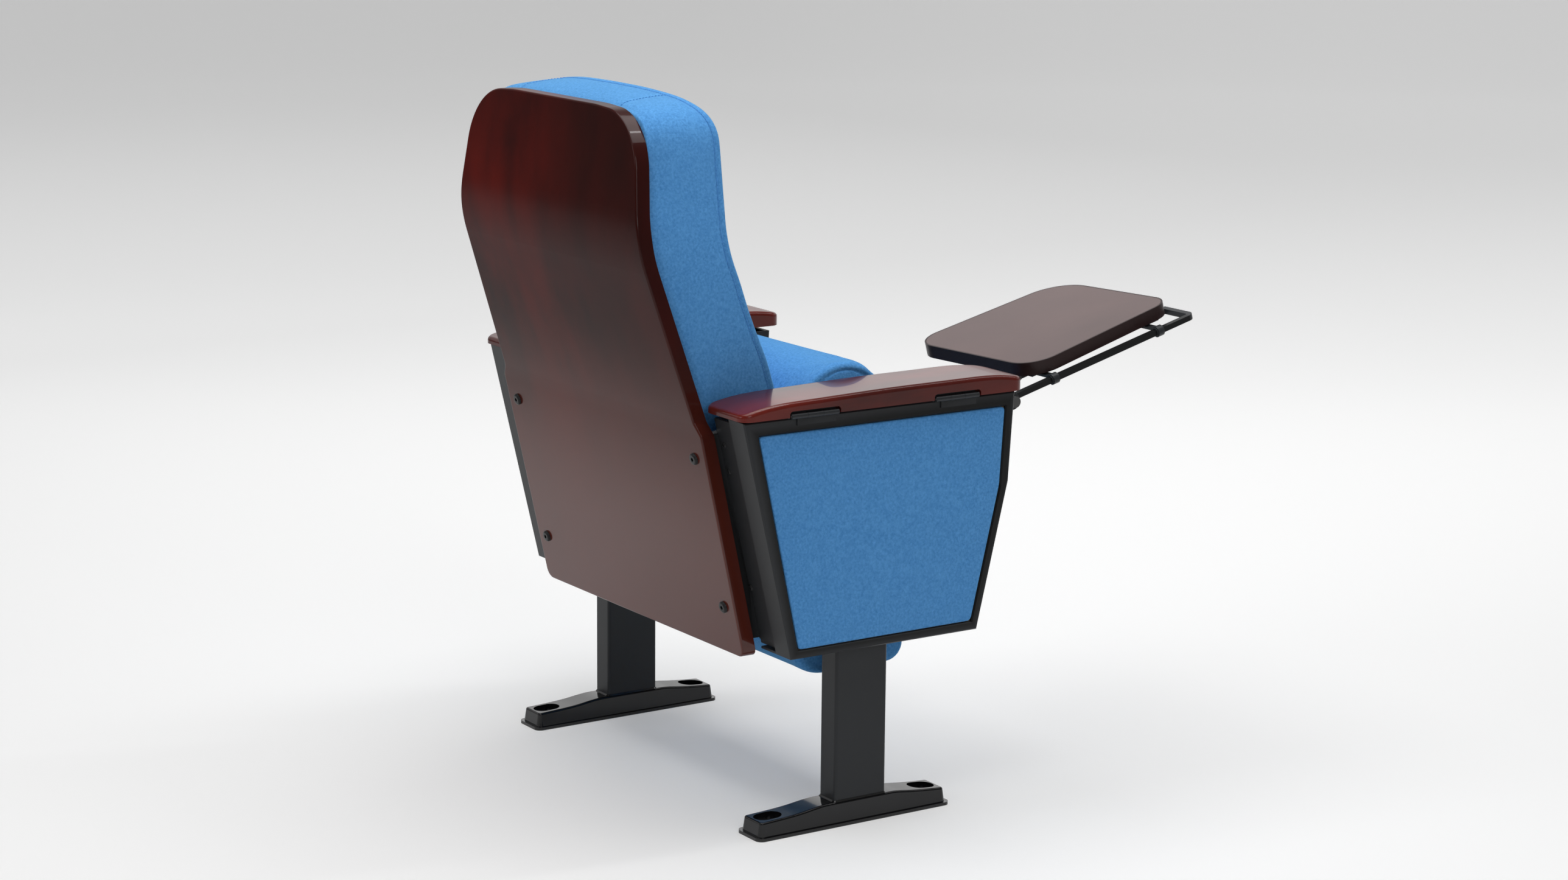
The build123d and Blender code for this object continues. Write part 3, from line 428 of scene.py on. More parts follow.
def cloth_material(name, group, light, dark):
    """Upholstery cloth, with the soft sheen of its nap."""
    material = new_material(name)
    weave = place_group(material, group, {"Light Yarn": light, "Dark Yarn": dark})
    link_finish(material, weave.outputs["Color"], weave.outputs["Roughness"])
    set_inputs(material, {"Specular IOR Level": 0.10, "Sheen Weight": 0.42,
                          "Sheen Roughness": 0.4, "Sheen Tint": (0.46, 0.90, 0.94, 1)})
    link_bump(material, weave.outputs["Height"], 0.5, 0.0006)
    return material


def lacquer_material(name, figure, wear, stretch, red, dark, coat):
    """Stained timber under lacquer; the figure is drawn out along the axis stretched least."""
    material = new_material(name)
    wood = place_group(material, figure, {"Along X": stretch[0], "Along Y": stretch[1],
                                          "Along Z": stretch[2], "Red": red, "Dark": dark})
    worn = place_group(material, wear, {"Base Roughness": 0.30, "Spread": 0.03})
    link_finish(material, wood.outputs["Color"], worn.outputs["Roughness"])
    set_inputs(material, {"Coat Weight": coat, "Coat Roughness": 0.07, "Coat IOR": 1.5,
                          "Specular IOR Level": 0.15})
    return material


def object_place(tree):
    return tree.nodes.new("ShaderNodeTexCoord").outputs["Object"]


def facing_sideways(tree, low, high, most):
    """How far the surface faces left or right, from nothing at low to most at high."""
    normal = tree.nodes.new("ShaderNodeNewGeometry").outputs["Normal"]
    sideways = math_node(tree, "ABSOLUTE", dot_with(tree, normal, (1, 0, 0)), 0.0)
    return map_range(tree, sideways, low, high, 0.0, most)


def fade_coat(material, low, high, weight, top_weight, edge_weight):
    """Lacquer rubbed duller towards the top, except on the rounded edges."""
    tree = material.node_tree
    height = dot_with(tree, object_place(tree), (0, 0, 1))
    fade = map_range(tree, height, low, high, weight, top_weight)
    edge = facing_sideways(tree, 0.15, 0.6, edge_weight)
    coat = math_node(tree, "MAXIMUM", fade, edge)
    tree.links.new(coat, shader_of(material).inputs["Coat Weight"])


def lay_painted_light(material, cover, color):
    """Lays a second colour over the colour, as thickly as cover says; it is used for painted shade
    and a painted reflection.
    """
    tree, socket = material.node_tree, shader_of(material).inputs["Base Color"]
    face = socket.links[0].from_socket
    tree.links.new(mix_colors(tree, cover, face, color), socket)


def fading_painted_light(material, direction, low, high, color, amount):
    """A second, painted colour that stands in for light or shade: amount of it below low along the
    direction, and none above high.
    """
    tree = material.node_tree
    along = dot_with(tree, object_place(tree), direction)
    lay_painted_light(material, map_range(tree, along, low, high, amount, 0.0), color)


def paint_edge_shade(material, color, amount):
    """Painted shade on the board's cut edges, which face sideways."""
    lay_painted_light(material, facing_sideways(material.node_tree, 0.6, 0.9, amount), color)


def finish_board(board):
    """The back board: blotchy red above, an even brown below that is a painted reflection, and
    painted shade on its right and on its edges.
    """
    # Painted shade: a dark colour laid over the board's right (-X) side, fading out towards the
    # middle.
    fading_painted_light(board, (1, 0, 0), low=-0.12, high=0.14, color=(0.022, 0.005, 0.004, 1), amount=0.7)
    # Painted reflection: an even brown over the lower board stands in for the sheen of the floor
    # reflected in its lacquer.
    fading_painted_light(board, (0, 0, 1), low=0.40, high=0.74, color=(0.118, 0.022, 0.013, 1), amount=0.88)
    # Painted shade: the edge faces that point sideways are darkened.
    paint_edge_shade(board, color=(0.012, 0.004, 0.004, 1), amount=0.25)
    fade_coat(board, low=0.34, high=0.70, weight=0.66, top_weight=0.02, edge_weight=0.35)
    set_inputs(board, {"Specular IOR Level": 0.06, "Coat Roughness": 0.05})


def coated_steel(name, wear, color, edge, roughness, grain=1400.0, bump=0.12, coat=0.0):
    """Powder-coated or enamelled steel, lighter where its edges are handled."""
    material = new_material(name)
    worn = place_group(material, wear, {"Base Roughness": roughness, "Spread": 0.07,
                                        "Grain": grain})
    mixed = mix_colors(material.node_tree, worn.outputs["Edge"], color, edge)
    link_finish(material, mixed, worn.outputs["Roughness"])
    set_inputs(material, {"Coat Weight": coat, "Coat Roughness": 0.06,
                          "Specular IOR Level": 0.22})
    link_bump(material, worn.outputs["Height"], bump, 0.0003)
    return material


def bare_steel(name, wear, color, roughness):
    """Plated steel, of one colour all over."""
    material = new_material(name)
    worn = place_group(material, wear, {"Base Roughness": roughness, "Spread": 0.07,
                                        "Grain": 500.0})
    material.node_tree.links.new(worn.outputs["Roughness"], shader_of(material).inputs["Roughness"])
    set_inputs(material, {"Base Color": color, "Metallic": 1.0})
    link_bump(material, worn.outputs["Height"], 0.08, 0.0003)
    return material


def make_timbers(figure, wear):
    """Lacquered timber and laminate; stretch is largest across the grain."""
    def lacquer(name, stretch, red, dark, coat):
        return lacquer_material(name, figure, wear, stretch, red + (1,), dark + (1,), coat)

    made = {
        "mahogany": lacquer("cap_lacquer", (3.2, 0.9, 3.2), (0.165, 0.016, 0.010),
                            (0.030, 0.009, 0.008), 0.5),
        "board_lacquer": lacquer("board_lacquer", (1.9, 1.9, 0.9), (0.150, 0.010, 0.006),
                                 (0.012, 0.003, 0.003), 0.9),
        "tablet_laminate": lacquer("tablet_laminate", (1.0, 0.6, 1.0), (0.125, 0.062, 0.057),
                                   (0.075, 0.036, 0.034), 0.35),
        "plywood": lacquer("bare_plywood", (2.0, 2.0, 1.0), (0.50, 0.35, 0.21),
                           (0.34, 0.23, 0.13), 0.0),
    }
    set_inputs(made["mahogany"], {"Specular IOR Level": 0.12, "Coat Roughness": 0.04})
    finish_board(made["board_lacquer"])
    return made


def make_coatings(wear):
    """Coated and plated steel, rubber, nylon and the tablet's edging."""
    def coating(name, color, edge, roughness, **more):
        return coated_steel(name, wear, color + (1,), edge + (1,), roughness, **more)

    return {
        "black_steel": coating("black_powder_coat", (0.006, 0.0065, 0.007),
                               (0.03, 0.032, 0.035), 0.36),
        "gloss_black": coating("black_enamel", (0.005, 0.005, 0.006), (0.02, 0.02, 0.02), 0.13,
                               grain=300.0, bump=0.01, coat=0.35),
        "dark_fasteners": coating("blackened_screws", (0.016, 0.017, 0.018),
                                  (0.10, 0.10, 0.10), 0.32),
        "dark_edging": coating("tablet_edging", (0.007, 0.005, 0.005),
                               (0.03, 0.015, 0.015), 0.36),
        "rubber": coating("black_rubber", (0.012, 0.012, 0.012), (0.02, 0.02, 0.02), 0.8),
        "nylon": coating("natural_nylon", (0.70, 0.68, 0.62), (0.75, 0.73, 0.68), 0.45),
        "bright_steel": bare_steel("zinc_plate", wear, (0.52, 0.53, 0.55, 1), 0.28),
    }


def make_materials():
    """Every finish, under the name of its slot in the record where it has one."""
    cloth, wear = make_cloth_group(), make_wear_group()
    made = make_timbers(make_figure_group(), wear)
    made.update(make_coatings(wear))
    made["blue_fabric"] = cloth_material("blue_upholstery", cloth, (0.156, 0.465, 0.91, 1),
                                         (0.046, 0.215, 0.56, 1))
    made["blue_thread"] = cloth_material("blue_thread", cloth, (0.13, 0.40, 0.86, 1),
                                         (0.08, 0.29, 0.70, 1))
    return made


OWN_FINISH = {"back_board": "board_lacquer"}


def dress_cad(materials):
    """Gives each CAD node the finish that its slot in the record names, or its own."""
    for entry in frame["record"]["subparts"]:
        shown = NODES[entry["node"]]
        finish = OWN_FINISH.get(entry["node"], entry["material_slot"])
        shown.data.materials.clear()
        shown.data.materials.append(materials[finish])


# ---- sewn covers ---------------------------------------------------------------------
# Covers are drawn in millimetres and become metres when their mesh is made.
WELD = 0.05                # points nearer than this are one point
ON_SEAM = 0.3              # a cover's point this near to a seam line is held by it
CLOTH_FRAMES = 20
CLOTH_PRESSURE = 4.0
SEWN_CREASE = 0.7
LINE_STEPS = 12            # steps between two given points of a smooth line


def even_points(line, count):
    """count points, evenly spaced along a line of points."""
    lengths = [0.0]
    for a, b in zip(line, line[1:]):
        lengths.append(lengths[-1] + (b - a).length)
    points, step = [], 0
    for i in range(count):
        want = lengths[-1] * i / (count - 1)
        while step < len(line) - 2 and lengths[step + 1] < want:
            step += 1
        part = (want - lengths[step]) / max(lengths[step + 1] - lengths[step], 1e-9)
        points.append(line[step].lerp(line[step + 1], min(part, 1.0)))
    return points


def smooth_line(points, count):
    """count evenly spaced points on a smooth curve through the given ones."""
    inner = [Vector(p) for p in points]
    line = [2 * inner[0] - inner[1]] + inner + [2 * inner[-1] - inner[-2]]
    fine = []
    for a, b, c, d in zip(line, line[1:], line[2:], line[3:]):
        for k in range(LINE_STEPS):
            t = k / LINE_STEPS
            fine.append(0.5 * (2 * b + (c - a) * t + (2 * a - 5 * b + 4 * c - d) * t ** 2
                               + (3 * b - a - 3 * c + d) * t ** 3))
    fine.append(inner[-1])
    return even_points(fine, count)


def flip_x(points):
    """The same points on the other side of the seat."""
    return [Vector((-p.x, p.y, p.z)) for p in points]


def coons_patch(low, high, left, right):
    """Rows of points filling the loop of four lines; left and right run from low to high."""
    rows = []
    for j, (a, b) in enumerate(zip(left, right)):
        v = j / (len(left) - 1)
        row = []
        for i, (c, d) in enumerate(zip(low, high)):
            u = i / (len(low) - 1)
            corners = (low[0] * (1 - u) + low[-1] * u) * (1 - v)
            corners += (high[0] * (1 - u) + high[-1] * u) * v
            row.append(a * (1 - u) + b * u + c * (1 - v) + d * v - corners)
        rows.append(row)
    return rows


def smooth_step(value, low, high):
    t = min(max((value - low) / (high - low), 0.0), 1.0)
    return t * t * (3 - 2 * t)


def add_piece(name, mesh, body, material):
    for face in mesh.polygons:
        face.use_smooth = True
    mesh.materials.append(material)
    piece = bpy.data.objects.new(name, mesh)
    bpy.context.scene.collection.objects.link(piece)
    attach(piece, body)
    return piece


def make_cover(name, grids, body, material):
    """One welded mesh from grids of points (rows of equal length), riding on a body."""
    verts, faces = [], []
    for rows in grids:
        first, width = len(verts), len(rows[0])
        for row in rows:
            verts.extend(p * MM for p in row)
        for j in range(len(rows) - 1):
            for i in range(width - 1):
                a = first + j * width + i
                faces.append((a, a + 1, a + 1 + width, a + width))
    mesh = bpy.data.meshes.new(name)
    mesh.from_pydata(verts, [], faces)
    work = bmesh.new()
    work.from_mesh(mesh)
    bmesh.ops.remove_doubles(work, verts=work.verts, dist=WELD * MM)
    bmesh.ops.dissolve_degenerate(work, edges=work.edges, dist=WELD * MM)
    bmesh.ops.recalc_face_normals(work, faces=work.faces)
    work.to_mesh(mesh)
    work.free()
    return add_piece(name, mesh, body, material)


def near_seams(piece, seams):
    """The numbers of the cover's points that lie on the seam lines."""
    points = [point for line in seams for point in line]
    tree = KDTree(len(points))
    for number, point in enumerate(points):
        tree.insert(point * MM, number)
    tree.balance()
    return [v.index for v in piece.data.vertices if tree.find(v.co)[2] < ON_SEAM * MM]


def inflate(piece, held, reach):
    """Presses the cover out between its held seams, as the foam in it does.

    reach gives the most that a point may move, by its place; both are in millimetres."""
    group = piece.vertex_groups.new(name="seams")
    group.add(held, 1.0, "REPLACE")
    mesh = piece.data
    start = [v.co.copy() for v in mesh.vertices]
    cloth = piece.modifiers.new("inflate", "CLOTH")
    settings = cloth.settings
    settings.use_pressure = True
    settings.uniform_pressure_force = CLOTH_PRESSURE
    settings.effector_weights.gravity = 0.0
    settings.vertex_group_mass = group.name
    scene = bpy.context.scene
    for step in range(1, CLOTH_FRAMES + 1):
        scene.frame_set(step)
    pressed = piece.evaluated_get(bpy.context.evaluated_depsgraph_get()).data
    moves = [v.co - a for v, a in zip(pressed.vertices, start)]
    piece.modifiers.remove(cloth)
    piece.vertex_groups.remove(group)
    for vertex, at, move in zip(mesh.vertices, start, moves):
        most = reach(at / MM) * MM
        if move.length > 1e-7:
            vertex.co = at + move * (most * tanh(move.length / most) / move.length)
    scene.frame_set(1)


def press_seams(piece, numbers, depth):
    """Pulls the seam's points into the foam."""
    mesh = piece.data
    inward = [(i, mesh.vertices[i].normal.copy()) for i in numbers]
    for i, normal in inward:
        mesh.vertices[i].co -= normal * depth * MM


def refine(piece, creased=()):
    """One subdivision, with the sewn edges kept tight."""
    mesh = piece.data
    sharp = set(creased)
    crease = mesh.attributes.new("crease_edge", "FLOAT", "EDGE")
    for edge in mesh.edges:
        if edge.vertices[0] in sharp and edge.vertices[1] in sharp:
            crease.data[edge.index].value = SEWN_CREASE
    smooth = piece.modifiers.new("smooth", "SUBSURF")
    smooth.levels = smooth.render_levels = 1


STITCH_LENGTH = 3.4
STITCH_PITCH = 4.6
THREAD = 0.42              # radius of the sewing thread
# A stitch's rings: place along it from -1 to 1, thickness, and lift off the cloth.
STITCH_RINGS = [(-1.0, 0.35, -0.5), (-0.6, 1.0, 0.25), (0.6, 1.0, 0.25), (1.0, 0.35, -0.5)]
RING_SIDES = [(1, 0), (0, 1), (-1, 0), (0, -1)]


def add_stitch(verts, faces, a, b, normal):
    """A four-sided bar of thread between two points that dips into the cloth at its ends."""
    middle, along = (a + b) / 2, (b - a).normalized()
    side = along.cross(normal).normalized()
    first, sides = len(verts), len(RING_SIDES)
    for place, size, lift in STITCH_RINGS:
        for s, n in RING_SIDES:
            offset = side * s * THREAD * size + normal * (n * THREAD * size + lift)
            verts.append((middle + along * (place * STITCH_LENGTH / 2) + offset) * MM)
    last = first + sides * (len(STITCH_RINGS) - 1)
    for ring in range(first, last, sides):
        for i in range(sides):
            a0, a1 = ring + i, ring + (i + 1) % sides
            faces.append((a0, a1, a1 + sides, a0 + sides))
    faces.append(tuple(first + i for i in reversed(range(sides))))
    faces.append(tuple(last + i for i in range(sides)))


def sew(name, lines, body, material):
    """Rows of thread stitches; each line is a list of (point, outward normal) in millimetres."""
    verts, faces = [], []
    for line in lines:
        places = [p for p, _ in line]
        total = sum((b - a).length for a, b in zip(places, places[1:]))
        count = max(int(total / STITCH_PITCH), 2)
        spots = even_points(places, 2 * count + 1)
        for a, b in zip(spots[0:-1:2], spots[1::2]):
            middle = (a + b) / 2
            normal = min(line, key=lambda pair: (pair[0] - middle).length_squared)[1]
            add_stitch(verts, faces, a, b, normal)
    mesh = bpy.data.meshes.new(name)
    mesh.from_pydata(verts, [], faces)
    return add_piece(name, mesh, body, material)


# ---- back cushion ---------------------------------------------------------------------
BOARD_REAR = [(141.9, 236.0), (213.4, 550.0), (296.0, 800.0), (280.6, 974.0)]
BOARD_THICKNESS = 20.6
BOARD_BEND = 40.0          # half the height of the board's upper bend

# The sewn front edge of the cushion on the sitter's left, bottom to top: x, y, z.
BACK_EDGE = [(229, 72, 450), (233, 61.5, 474), (237.5, 64.5, 515), (241, 73, 560),
             (244, 84, 593), (245.5, 98, 634), (246, 113, 668), (245.5, 128, 706),
             (244.5, 139, 739), (242.5, 152, 776), (239, 157.5, 808), (235, 158, 835),
             (231, 158, 860), (226, 158, 893), (221.5, 158, 922), (217, 158.7, 937)]
BACK_CORNER = [(217, 158.7, 937), (206.5, 161.5, 951.5), (189, 166, 963.5), (160, 172, 973)]
BACK_TOP = [(160, 172, 973), (125, 177, 978.5), (69, 184, 983), (0, 187, 984.5)]
BACK_HALF_LINE = BACK_EDGE + BACK_CORNER[1:] + BACK_TOP[1:]
BACK_LINE_POINTS = 400
BACK_ROWS = 54
BACK_COLUMNS = 44
BACK_CROWN = 5.0
BACK_MIDDLE_Z = 720.0
BACK_GAP = 0.5             # between the cushion and the board
LUMBAR_SEAM = 0.60         # its height, as a part of the front's
WELT_GAP = 9.0             # from the sewn edge to the row of topstitches
WELT_STEP = 3              # the topstitches' place among the strip's steps
TOP_SEAM_X = 138.0         # cross seams where the side strips meet the top strip
# Above SLOPE_Z the top strip falls towards the board, by most at the cushion's highest point.
SLOPE_Z, SLOPE_RISE, SLOPE_DROP = 955.0, 29.5, 15.0
# The cushion's sides are drawn in where the brackets meet the board.
BRACKET_Z, BRACKET_REACH, BRACKET_DRAW = 510, 38, 12.0


def board_front(z):
    """The y of the back board's front face at a height."""
    (y0, z0), (y1, z1), (y2, z2), (y3, z3) = BOARD_REAR
    mid_slope, top_slope = (y2 - y1) / (z2 - z1), (y3 - y2) / (z3 - z2)
    y = y1 + (z - z1) * mid_slope
    if z < z1:
        y = y1 + (z - z1) * (y1 - y0) / (z1 - z0)
    elif z > z2 + BOARD_BEND:
        y = y2 + (z - z2) * top_slope
    elif z > z2 - BOARD_BEND:
        y += (top_slope - mid_slope) * (z - z2 + BOARD_BEND) ** 2 / (4 * BOARD_BEND)
    return y - BOARD_THICKNESS


def back_loop():
    """The cushion's four sewn edge lines: low, high, left (at -x) and right."""
    fine = smooth_line(BACK_HALF_LINE, BACK_LINE_POINTS)
    corner = Vector(BACK_CORNER[1])
    split = min(range(BACK_LINE_POINTS), key=lambda i: (fine[i] - corner).length)
    right = even_points(fine[:split + 1], BACK_ROWS)
    half_top = fine[split:]
    high = even_points(flip_x(half_top) + half_top[-2::-1], BACK_COLUMNS)
    left = flip_x(right)
    low = even_points([left[0], right[0]], BACK_COLUMNS)
    return low, high, left, right


def back_strip_row(front, toward, outward):
    """Points from the sewn edge at front to the board, along the cushion's edge strip."""
    width = toward.length
    steps = [0, 3, 6, WELT_GAP, 12, 16]
    steps += [16 + (width - 32) * k / 8 for k in range(1, 8)]
    steps += [width - 16, width - 10, width - 5, width - 2, width]
    bracket = 0.0
    if abs(outward.x) > 0.7:
        bracket = BRACKET_DRAW * exp(-((front.z - BRACKET_Z) / BRACKET_REACH) ** 2)
    row = []
    for step in steps:
        left = width - step
        bulge = 1.6 * sin(pi * min(step / width, 1.0)) + 0.9 * sin(pi * min(step / WELT_GAP, 1.0))
        drawn = 6.0 * (1 - smooth_step(left, 0, 15)) + bracket * (1 - smooth_step(left, 12, 34))
        row.append(front + toward * (step / width) + outward * (bulge - drawn))
    return row


def back_strip(low, high, left, right):
    """The strip round the cushion as rows across it, with the outward direction of each."""
    loop = right + high[-2::-1] + left[-2::-1] + low[1:]
    bottom = len(right) + len(high) + len(left) - 2
    rows, normals = [], []
    for i, front in enumerate(loop):
        before, after = loop[max(i - 1, 0)], loop[min(i + 1, len(loop) - 1)]
        drop = 0.0
        if 0 < i < bottom:
            drop = SLOPE_DROP * max(front.z - SLOPE_Z, 0.0) ** 2 / SLOPE_RISE ** 2
        z = front.z - drop
        toward = Vector((front.x, board_front(z) - BACK_GAP, z)) - front
        outward = toward.cross(after - before).normalized()
        if outward.dot(Vector((front.x, 0, (front.z - BACK_MIDDLE_Z) * 0.8))) < 0:
            outward.negate()
        rows.append(back_strip_row(front, toward, outward))
        normals.append(outward)
    return rows, normals


def edge_depth(z):
    """The y of the sewn front edge at a height."""
    for (_, y0, z0), (_, y1, z1) in zip(BACK_HALF_LINE, BACK_HALF_LINE[1:]):
        if z <= z1:
            return y0 + (y1 - y0) * max((z - z0) / (z1 - z0), 0.0)
    return BACK_HALF_LINE[-1][1]


def back_front_patch(low, high, left, right):
    """The front face, crowned between its edges."""
    rows = coons_patch(low, high, left, right)
    for j, row in enumerate(rows[1:-1], 1):
        v = j / (len(rows) - 1)
        for i in range(1, len(row) - 1):
            u = i / (len(row) - 1)
            swell = (1 - abs(2 * u - 1) ** 2.6) * sin(pi * v) ** 0.5
            row[i].y = edge_depth(row[i].z) - BACK_CROWN * swell
    return rows


def back_rear_patch(rim, across, up):
    """The rear face, flat against the board; the rim runs round across and up its sides."""
    right, high = rim[:up + 1], rim[up:up + across + 1][::-1]
    left, low = rim[up + across:2 * up + across + 1][::-1], rim[2 * up + across:]
    low[-1] = right[0]
    rows = coons_patch(low, high, left, right)
    for row in rows[1:-1]:
        for point in row[1:-1]:
            point.y = board_front(point.z) - BACK_GAP
    return rows


def back_reach(at):
    """How far the back's cover may swell: least at the board, most across the front."""
    if at.y > board_front(at.z) - 12:
        return 0.3
    upper = smooth_step(at.z, 452, 600)
    return 2.0 + 9.0 * upper * (1 - smooth_step(abs(at.x), 205, 236))


def make_back_cushion(materials):
    """The back's sewn cover and its topstitches."""
    low, high, left, right = back_loop()
    strip, normals = back_strip(low, high, left, right)
    front = back_front_patch(low, high, left, right)
    edge, welt, rim = ([row[i] for row in strip] for i in (0, WELT_STEP, -1))
    up, across = len(right) - 1, len(high) - 1
    rear = back_rear_patch(rim, across, up)
    cover = make_cover("back_cushion_cover", [front, strip, rear], "stands_and_back",
                       materials["blue_fabric"])
    seam_rows = [min(range(up, up + across), key=lambda i: abs(edge[i].x - x))
                 for x in (TOP_SEAM_X, -TOP_SEAM_X)]
    cross = [strip[i] for i in seam_rows]
    lumbar = front[int(BACK_ROWS * LUMBAR_SEAM)]
    inflate(cover, near_seams(cover, [edge, welt, rim, lumbar] + cross + rear), back_reach)
    press_seams(cover, near_seams(cover, [welt]), 1.3)
    press_seams(cover, near_seams(cover, [row[WELT_STEP:] for row in cross]), 0.9)
    press_seams(cover, near_seams(cover, [lumbar[2:-2]]), 2.2)
    refine(cover, near_seams(cover, [edge]))
    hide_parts("back_cushion")
    threads = [list(zip(welt, normals))]
    beside = Vector((2.0, 0, 0))
    for i in seam_rows:
        threads.append([(p + beside, normals[i]) for p in strip[i][WELT_STEP:-2]])
    sewn = sew("back_cushion_stitches", threads, "stands_and_back", materials["blue_thread"])


# ---- seat -----------------------------------------------------------------------------
SEAT_FACE_TOP, SEAT_FACE_LOW = 46.0, 50.0
SEAT_UNDER_TOP, SEAT_UNDER_LOW = -108.0, -142.0
SEAT_BOTTOM, ROLL_Z, ROLL_TOP = 187.0, 540.0, 619.0
SEAT_TIP_Y = -50.0         # where both halves of the profile end, under the seat
SEAT_SPLIT_Y = -76.0       # seam between the sitting cover and the under cover
SEAT_HALF_Z = 400.0
SEAT_CROWN = 3.0
SEAT_KNEE, SEAT_HEEL = 50.0, 30.0   # how far the rounds of the front and the rear edge reach
SEAT_ROWS = 58
SEAT_END_X = 241.0
# From the end seam over the shoulder: distance from the middle, and how far drawn in.
SEAT_SHOULDER = [(241.0, 12.5), (242.6, 9.0), (242.4, 5.4), (240.0, 2.6), (235.5, 1.0),
                 (228.0, 0.2), (218.0, 0.0)]
SEAT_MIDDLE_COLUMNS = 40
SEAT_FACE_COLUMN = 9       # a column of the sitting face, just inside the shoulder
SEAT_END_COLUMNS, SEAT_END_DOME = 14, 2.6


def arc_points(a, b, c, count):
    """Points on the arc from a through b to c, as (y, z) pairs."""
    (ax, ay), (bx, by), (cx, cy) = a, b, c
    d = 2 * (ax * (by - cy) + bx * (cy - ay) + cx * (ay - by))
    squares = [x * x + y * y for x, y in (a, b, c)]
    ux = (squares[0] * (by - cy) + squares[1] * (cy - ay) + squares[2] * (ay - by)) / d
    uy = (squares[0] * (cx - bx) + squares[1] * (ax - cx) + squares[2] * (bx - ax)) / d
    radius = ((ax - ux) ** 2 + (ay - uy) ** 2) ** 0.5
    start, through, end = (atan2(y - uy, x - ux) for x, y in (a, b, c))
    turn = (end - start) % (2 * pi)
    if (through - start) % (2 * pi) > turn:
        turn -= 2 * pi
    angles = [start + turn * i / (count - 1) for i in range(count)]
    return [(ux + radius * cos(angle), uy + radius * sin(angle)) for angle in angles]


def join_arcs(arcs):
    """One line of (y, z) pairs from arcs that each start where the one before ends."""
    line = []
    for a, b, c, count in arcs:
        arc = arc_points(a, b, c, count)
        line += arc[1:] if line else arc
    return line


def seat_profile(x, draw):
    """Both halves of the seat's outline at x, from the roll's top to under the seat."""
    crown = SEAT_CROWN * (1 - (x / SEAT_END_X) ** 2) + 0.5
    face_top, face_low = SEAT_FACE_TOP - draw, SEAT_FACE_LOW - draw
    under_top, under_low = SEAT_UNDER_TOP + draw, SEAT_UNDER_LOW + draw
    bottom, top = SEAT_BOTTOM + draw, ROLL_TOP - draw
    knee, heel = bottom + SEAT_KNEE, bottom + SEAT_HEEL
    roll, half, lean = (face_top + under_top) / 2, (face_top - under_top) / 2, 0.72
    shoulder = ROLL_Z + (top - ROLL_Z) * 0.7
    face_mid = ((face_top + face_low) / 2 + crown, (ROLL_Z + knee) / 2)
    under_mid = ((under_top + under_low) / 2 - crown * 1.4, (ROLL_Z + heel) / 2)
    face = [((roll, top), (roll + half * lean, shoulder), (face_top, ROLL_Z), 24),
            ((face_top, ROLL_Z), face_mid, (face_low, knee), 24),
            ((face_low, knee), (face_low - SEAT_KNEE * 0.29, bottom + SEAT_KNEE * 0.29),
             (face_low - SEAT_KNEE, bottom), 12)]
    under = [((roll, top), (roll - half * lean, shoulder), (under_top, ROLL_Z), 24),
             ((under_top, ROLL_Z), under_mid, (under_low + 3, heel), 24),
             ((under_low + 3, heel), (under_low + SEAT_HEEL * 0.3, bottom + SEAT_HEEL * 0.3),
              (under_low + SEAT_HEEL, bottom), 10)]
    halves = []
    for arcs in (face, under):
        line = join_arcs(arcs) + [(SEAT_TIP_Y, bottom)]
        halves.append(even_points([Vector((x, y, z)) for y, z in line], SEAT_ROWS))
    return halves


def seat_columns():
    """The (x, draw) of each profile, from one end of the seat to the other."""
    inner, count = SEAT_SHOULDER[-1][0], SEAT_MIDDLE_COLUMNS
    middle = [(-inner + 2 * inner * i / count, 0.0) for i in range(1, count)]
    return [(-x, draw) for x, draw in SEAT_SHOULDER] + middle + SEAT_SHOULDER[::-1]


def seat_end(face, under, side):
    """The end panel between the two halves of its seam, slightly domed."""
    rows = []
    for a, b in zip(face, under):
        row = []
        for k in range(SEAT_END_COLUMNS + 1):
            u = k / SEAT_END_COLUMNS
            dome = SEAT_END_DOME * sin(pi * u) * min((a - b).length / 90.0, 1.0)
            row.append(a.lerp(b, u) + Vector((side * dome, 0, 0)))
        rows.append(row)
    return rows


def split_row(under, upper):
    """The row of the under half at its seam, near the roll's top or near the bottom."""
    rows = [i for i, point in enumerate(under) if (point.z > SEAT_HALF_Z) == upper]
    return min(rows, key=lambda i: abs(under[i].y - SEAT_SPLIT_Y))


def seat_reach(at):
    """How far the seat's cover may swell: little at its ends, most over the roll."""
    if abs(at.x) > 243.2:
        return 1.6
    return 2.0 + 3.0 * smooth_step(at.z, 500, 560)


def make_seat(materials):
    """The seat's sewn cover, wrapped round its profiles and closed by two end panels."""
    profiles = [seat_profile(*column) for column in seat_columns()]
    wrap = []
    for half, order in ((1, reversed(range(SEAT_ROWS))), (0, range(1, SEAT_ROWS))):
        wrap += [[profile[half][i] for profile in profiles] for i in order]
    ends = [seat_end(*profiles[0], -1), seat_end(*profiles[-1], 1)]
    cover = make_cover("seat_cover", [wrap] + ends, "seat", materials["blue_fabric"])
    end_seams = profiles[0] + profiles[-1]
    under = profiles[SEAT_FACE_COLUMN][1]
    across = [[profile[1][i] for profile in profiles]
              for i in (split_row(under, True), split_row(under, False))]
    inflate(cover, near_seams(cover, end_seams + across), seat_reach)
    press_seams(cover, near_seams(cover, end_seams), 1.2)
    press_seams(cover, near_seams(cover, across), 1.8)
    refine(cover, near_seams(cover, end_seams))
    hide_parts("seat_cushion", "seat_under_cover")


# ---- fabric panels of the stands --------------------------------------------------------
# Corners of the fabric as (y, z), round from the rear top.
FABRIC_OUTLINE = [(169.0, 553.5), (104.0, 260.0), (-178.0, 261.0), (-222.0, 446.0),
                  (-228.5, 554.0)]
PANEL_BACK_X = 333.0
PANEL_FACE_X = 339.0
PANEL_SIDES = [36, 40, 22, 14, 40]   # rear, bottom, front below and above its kink, top
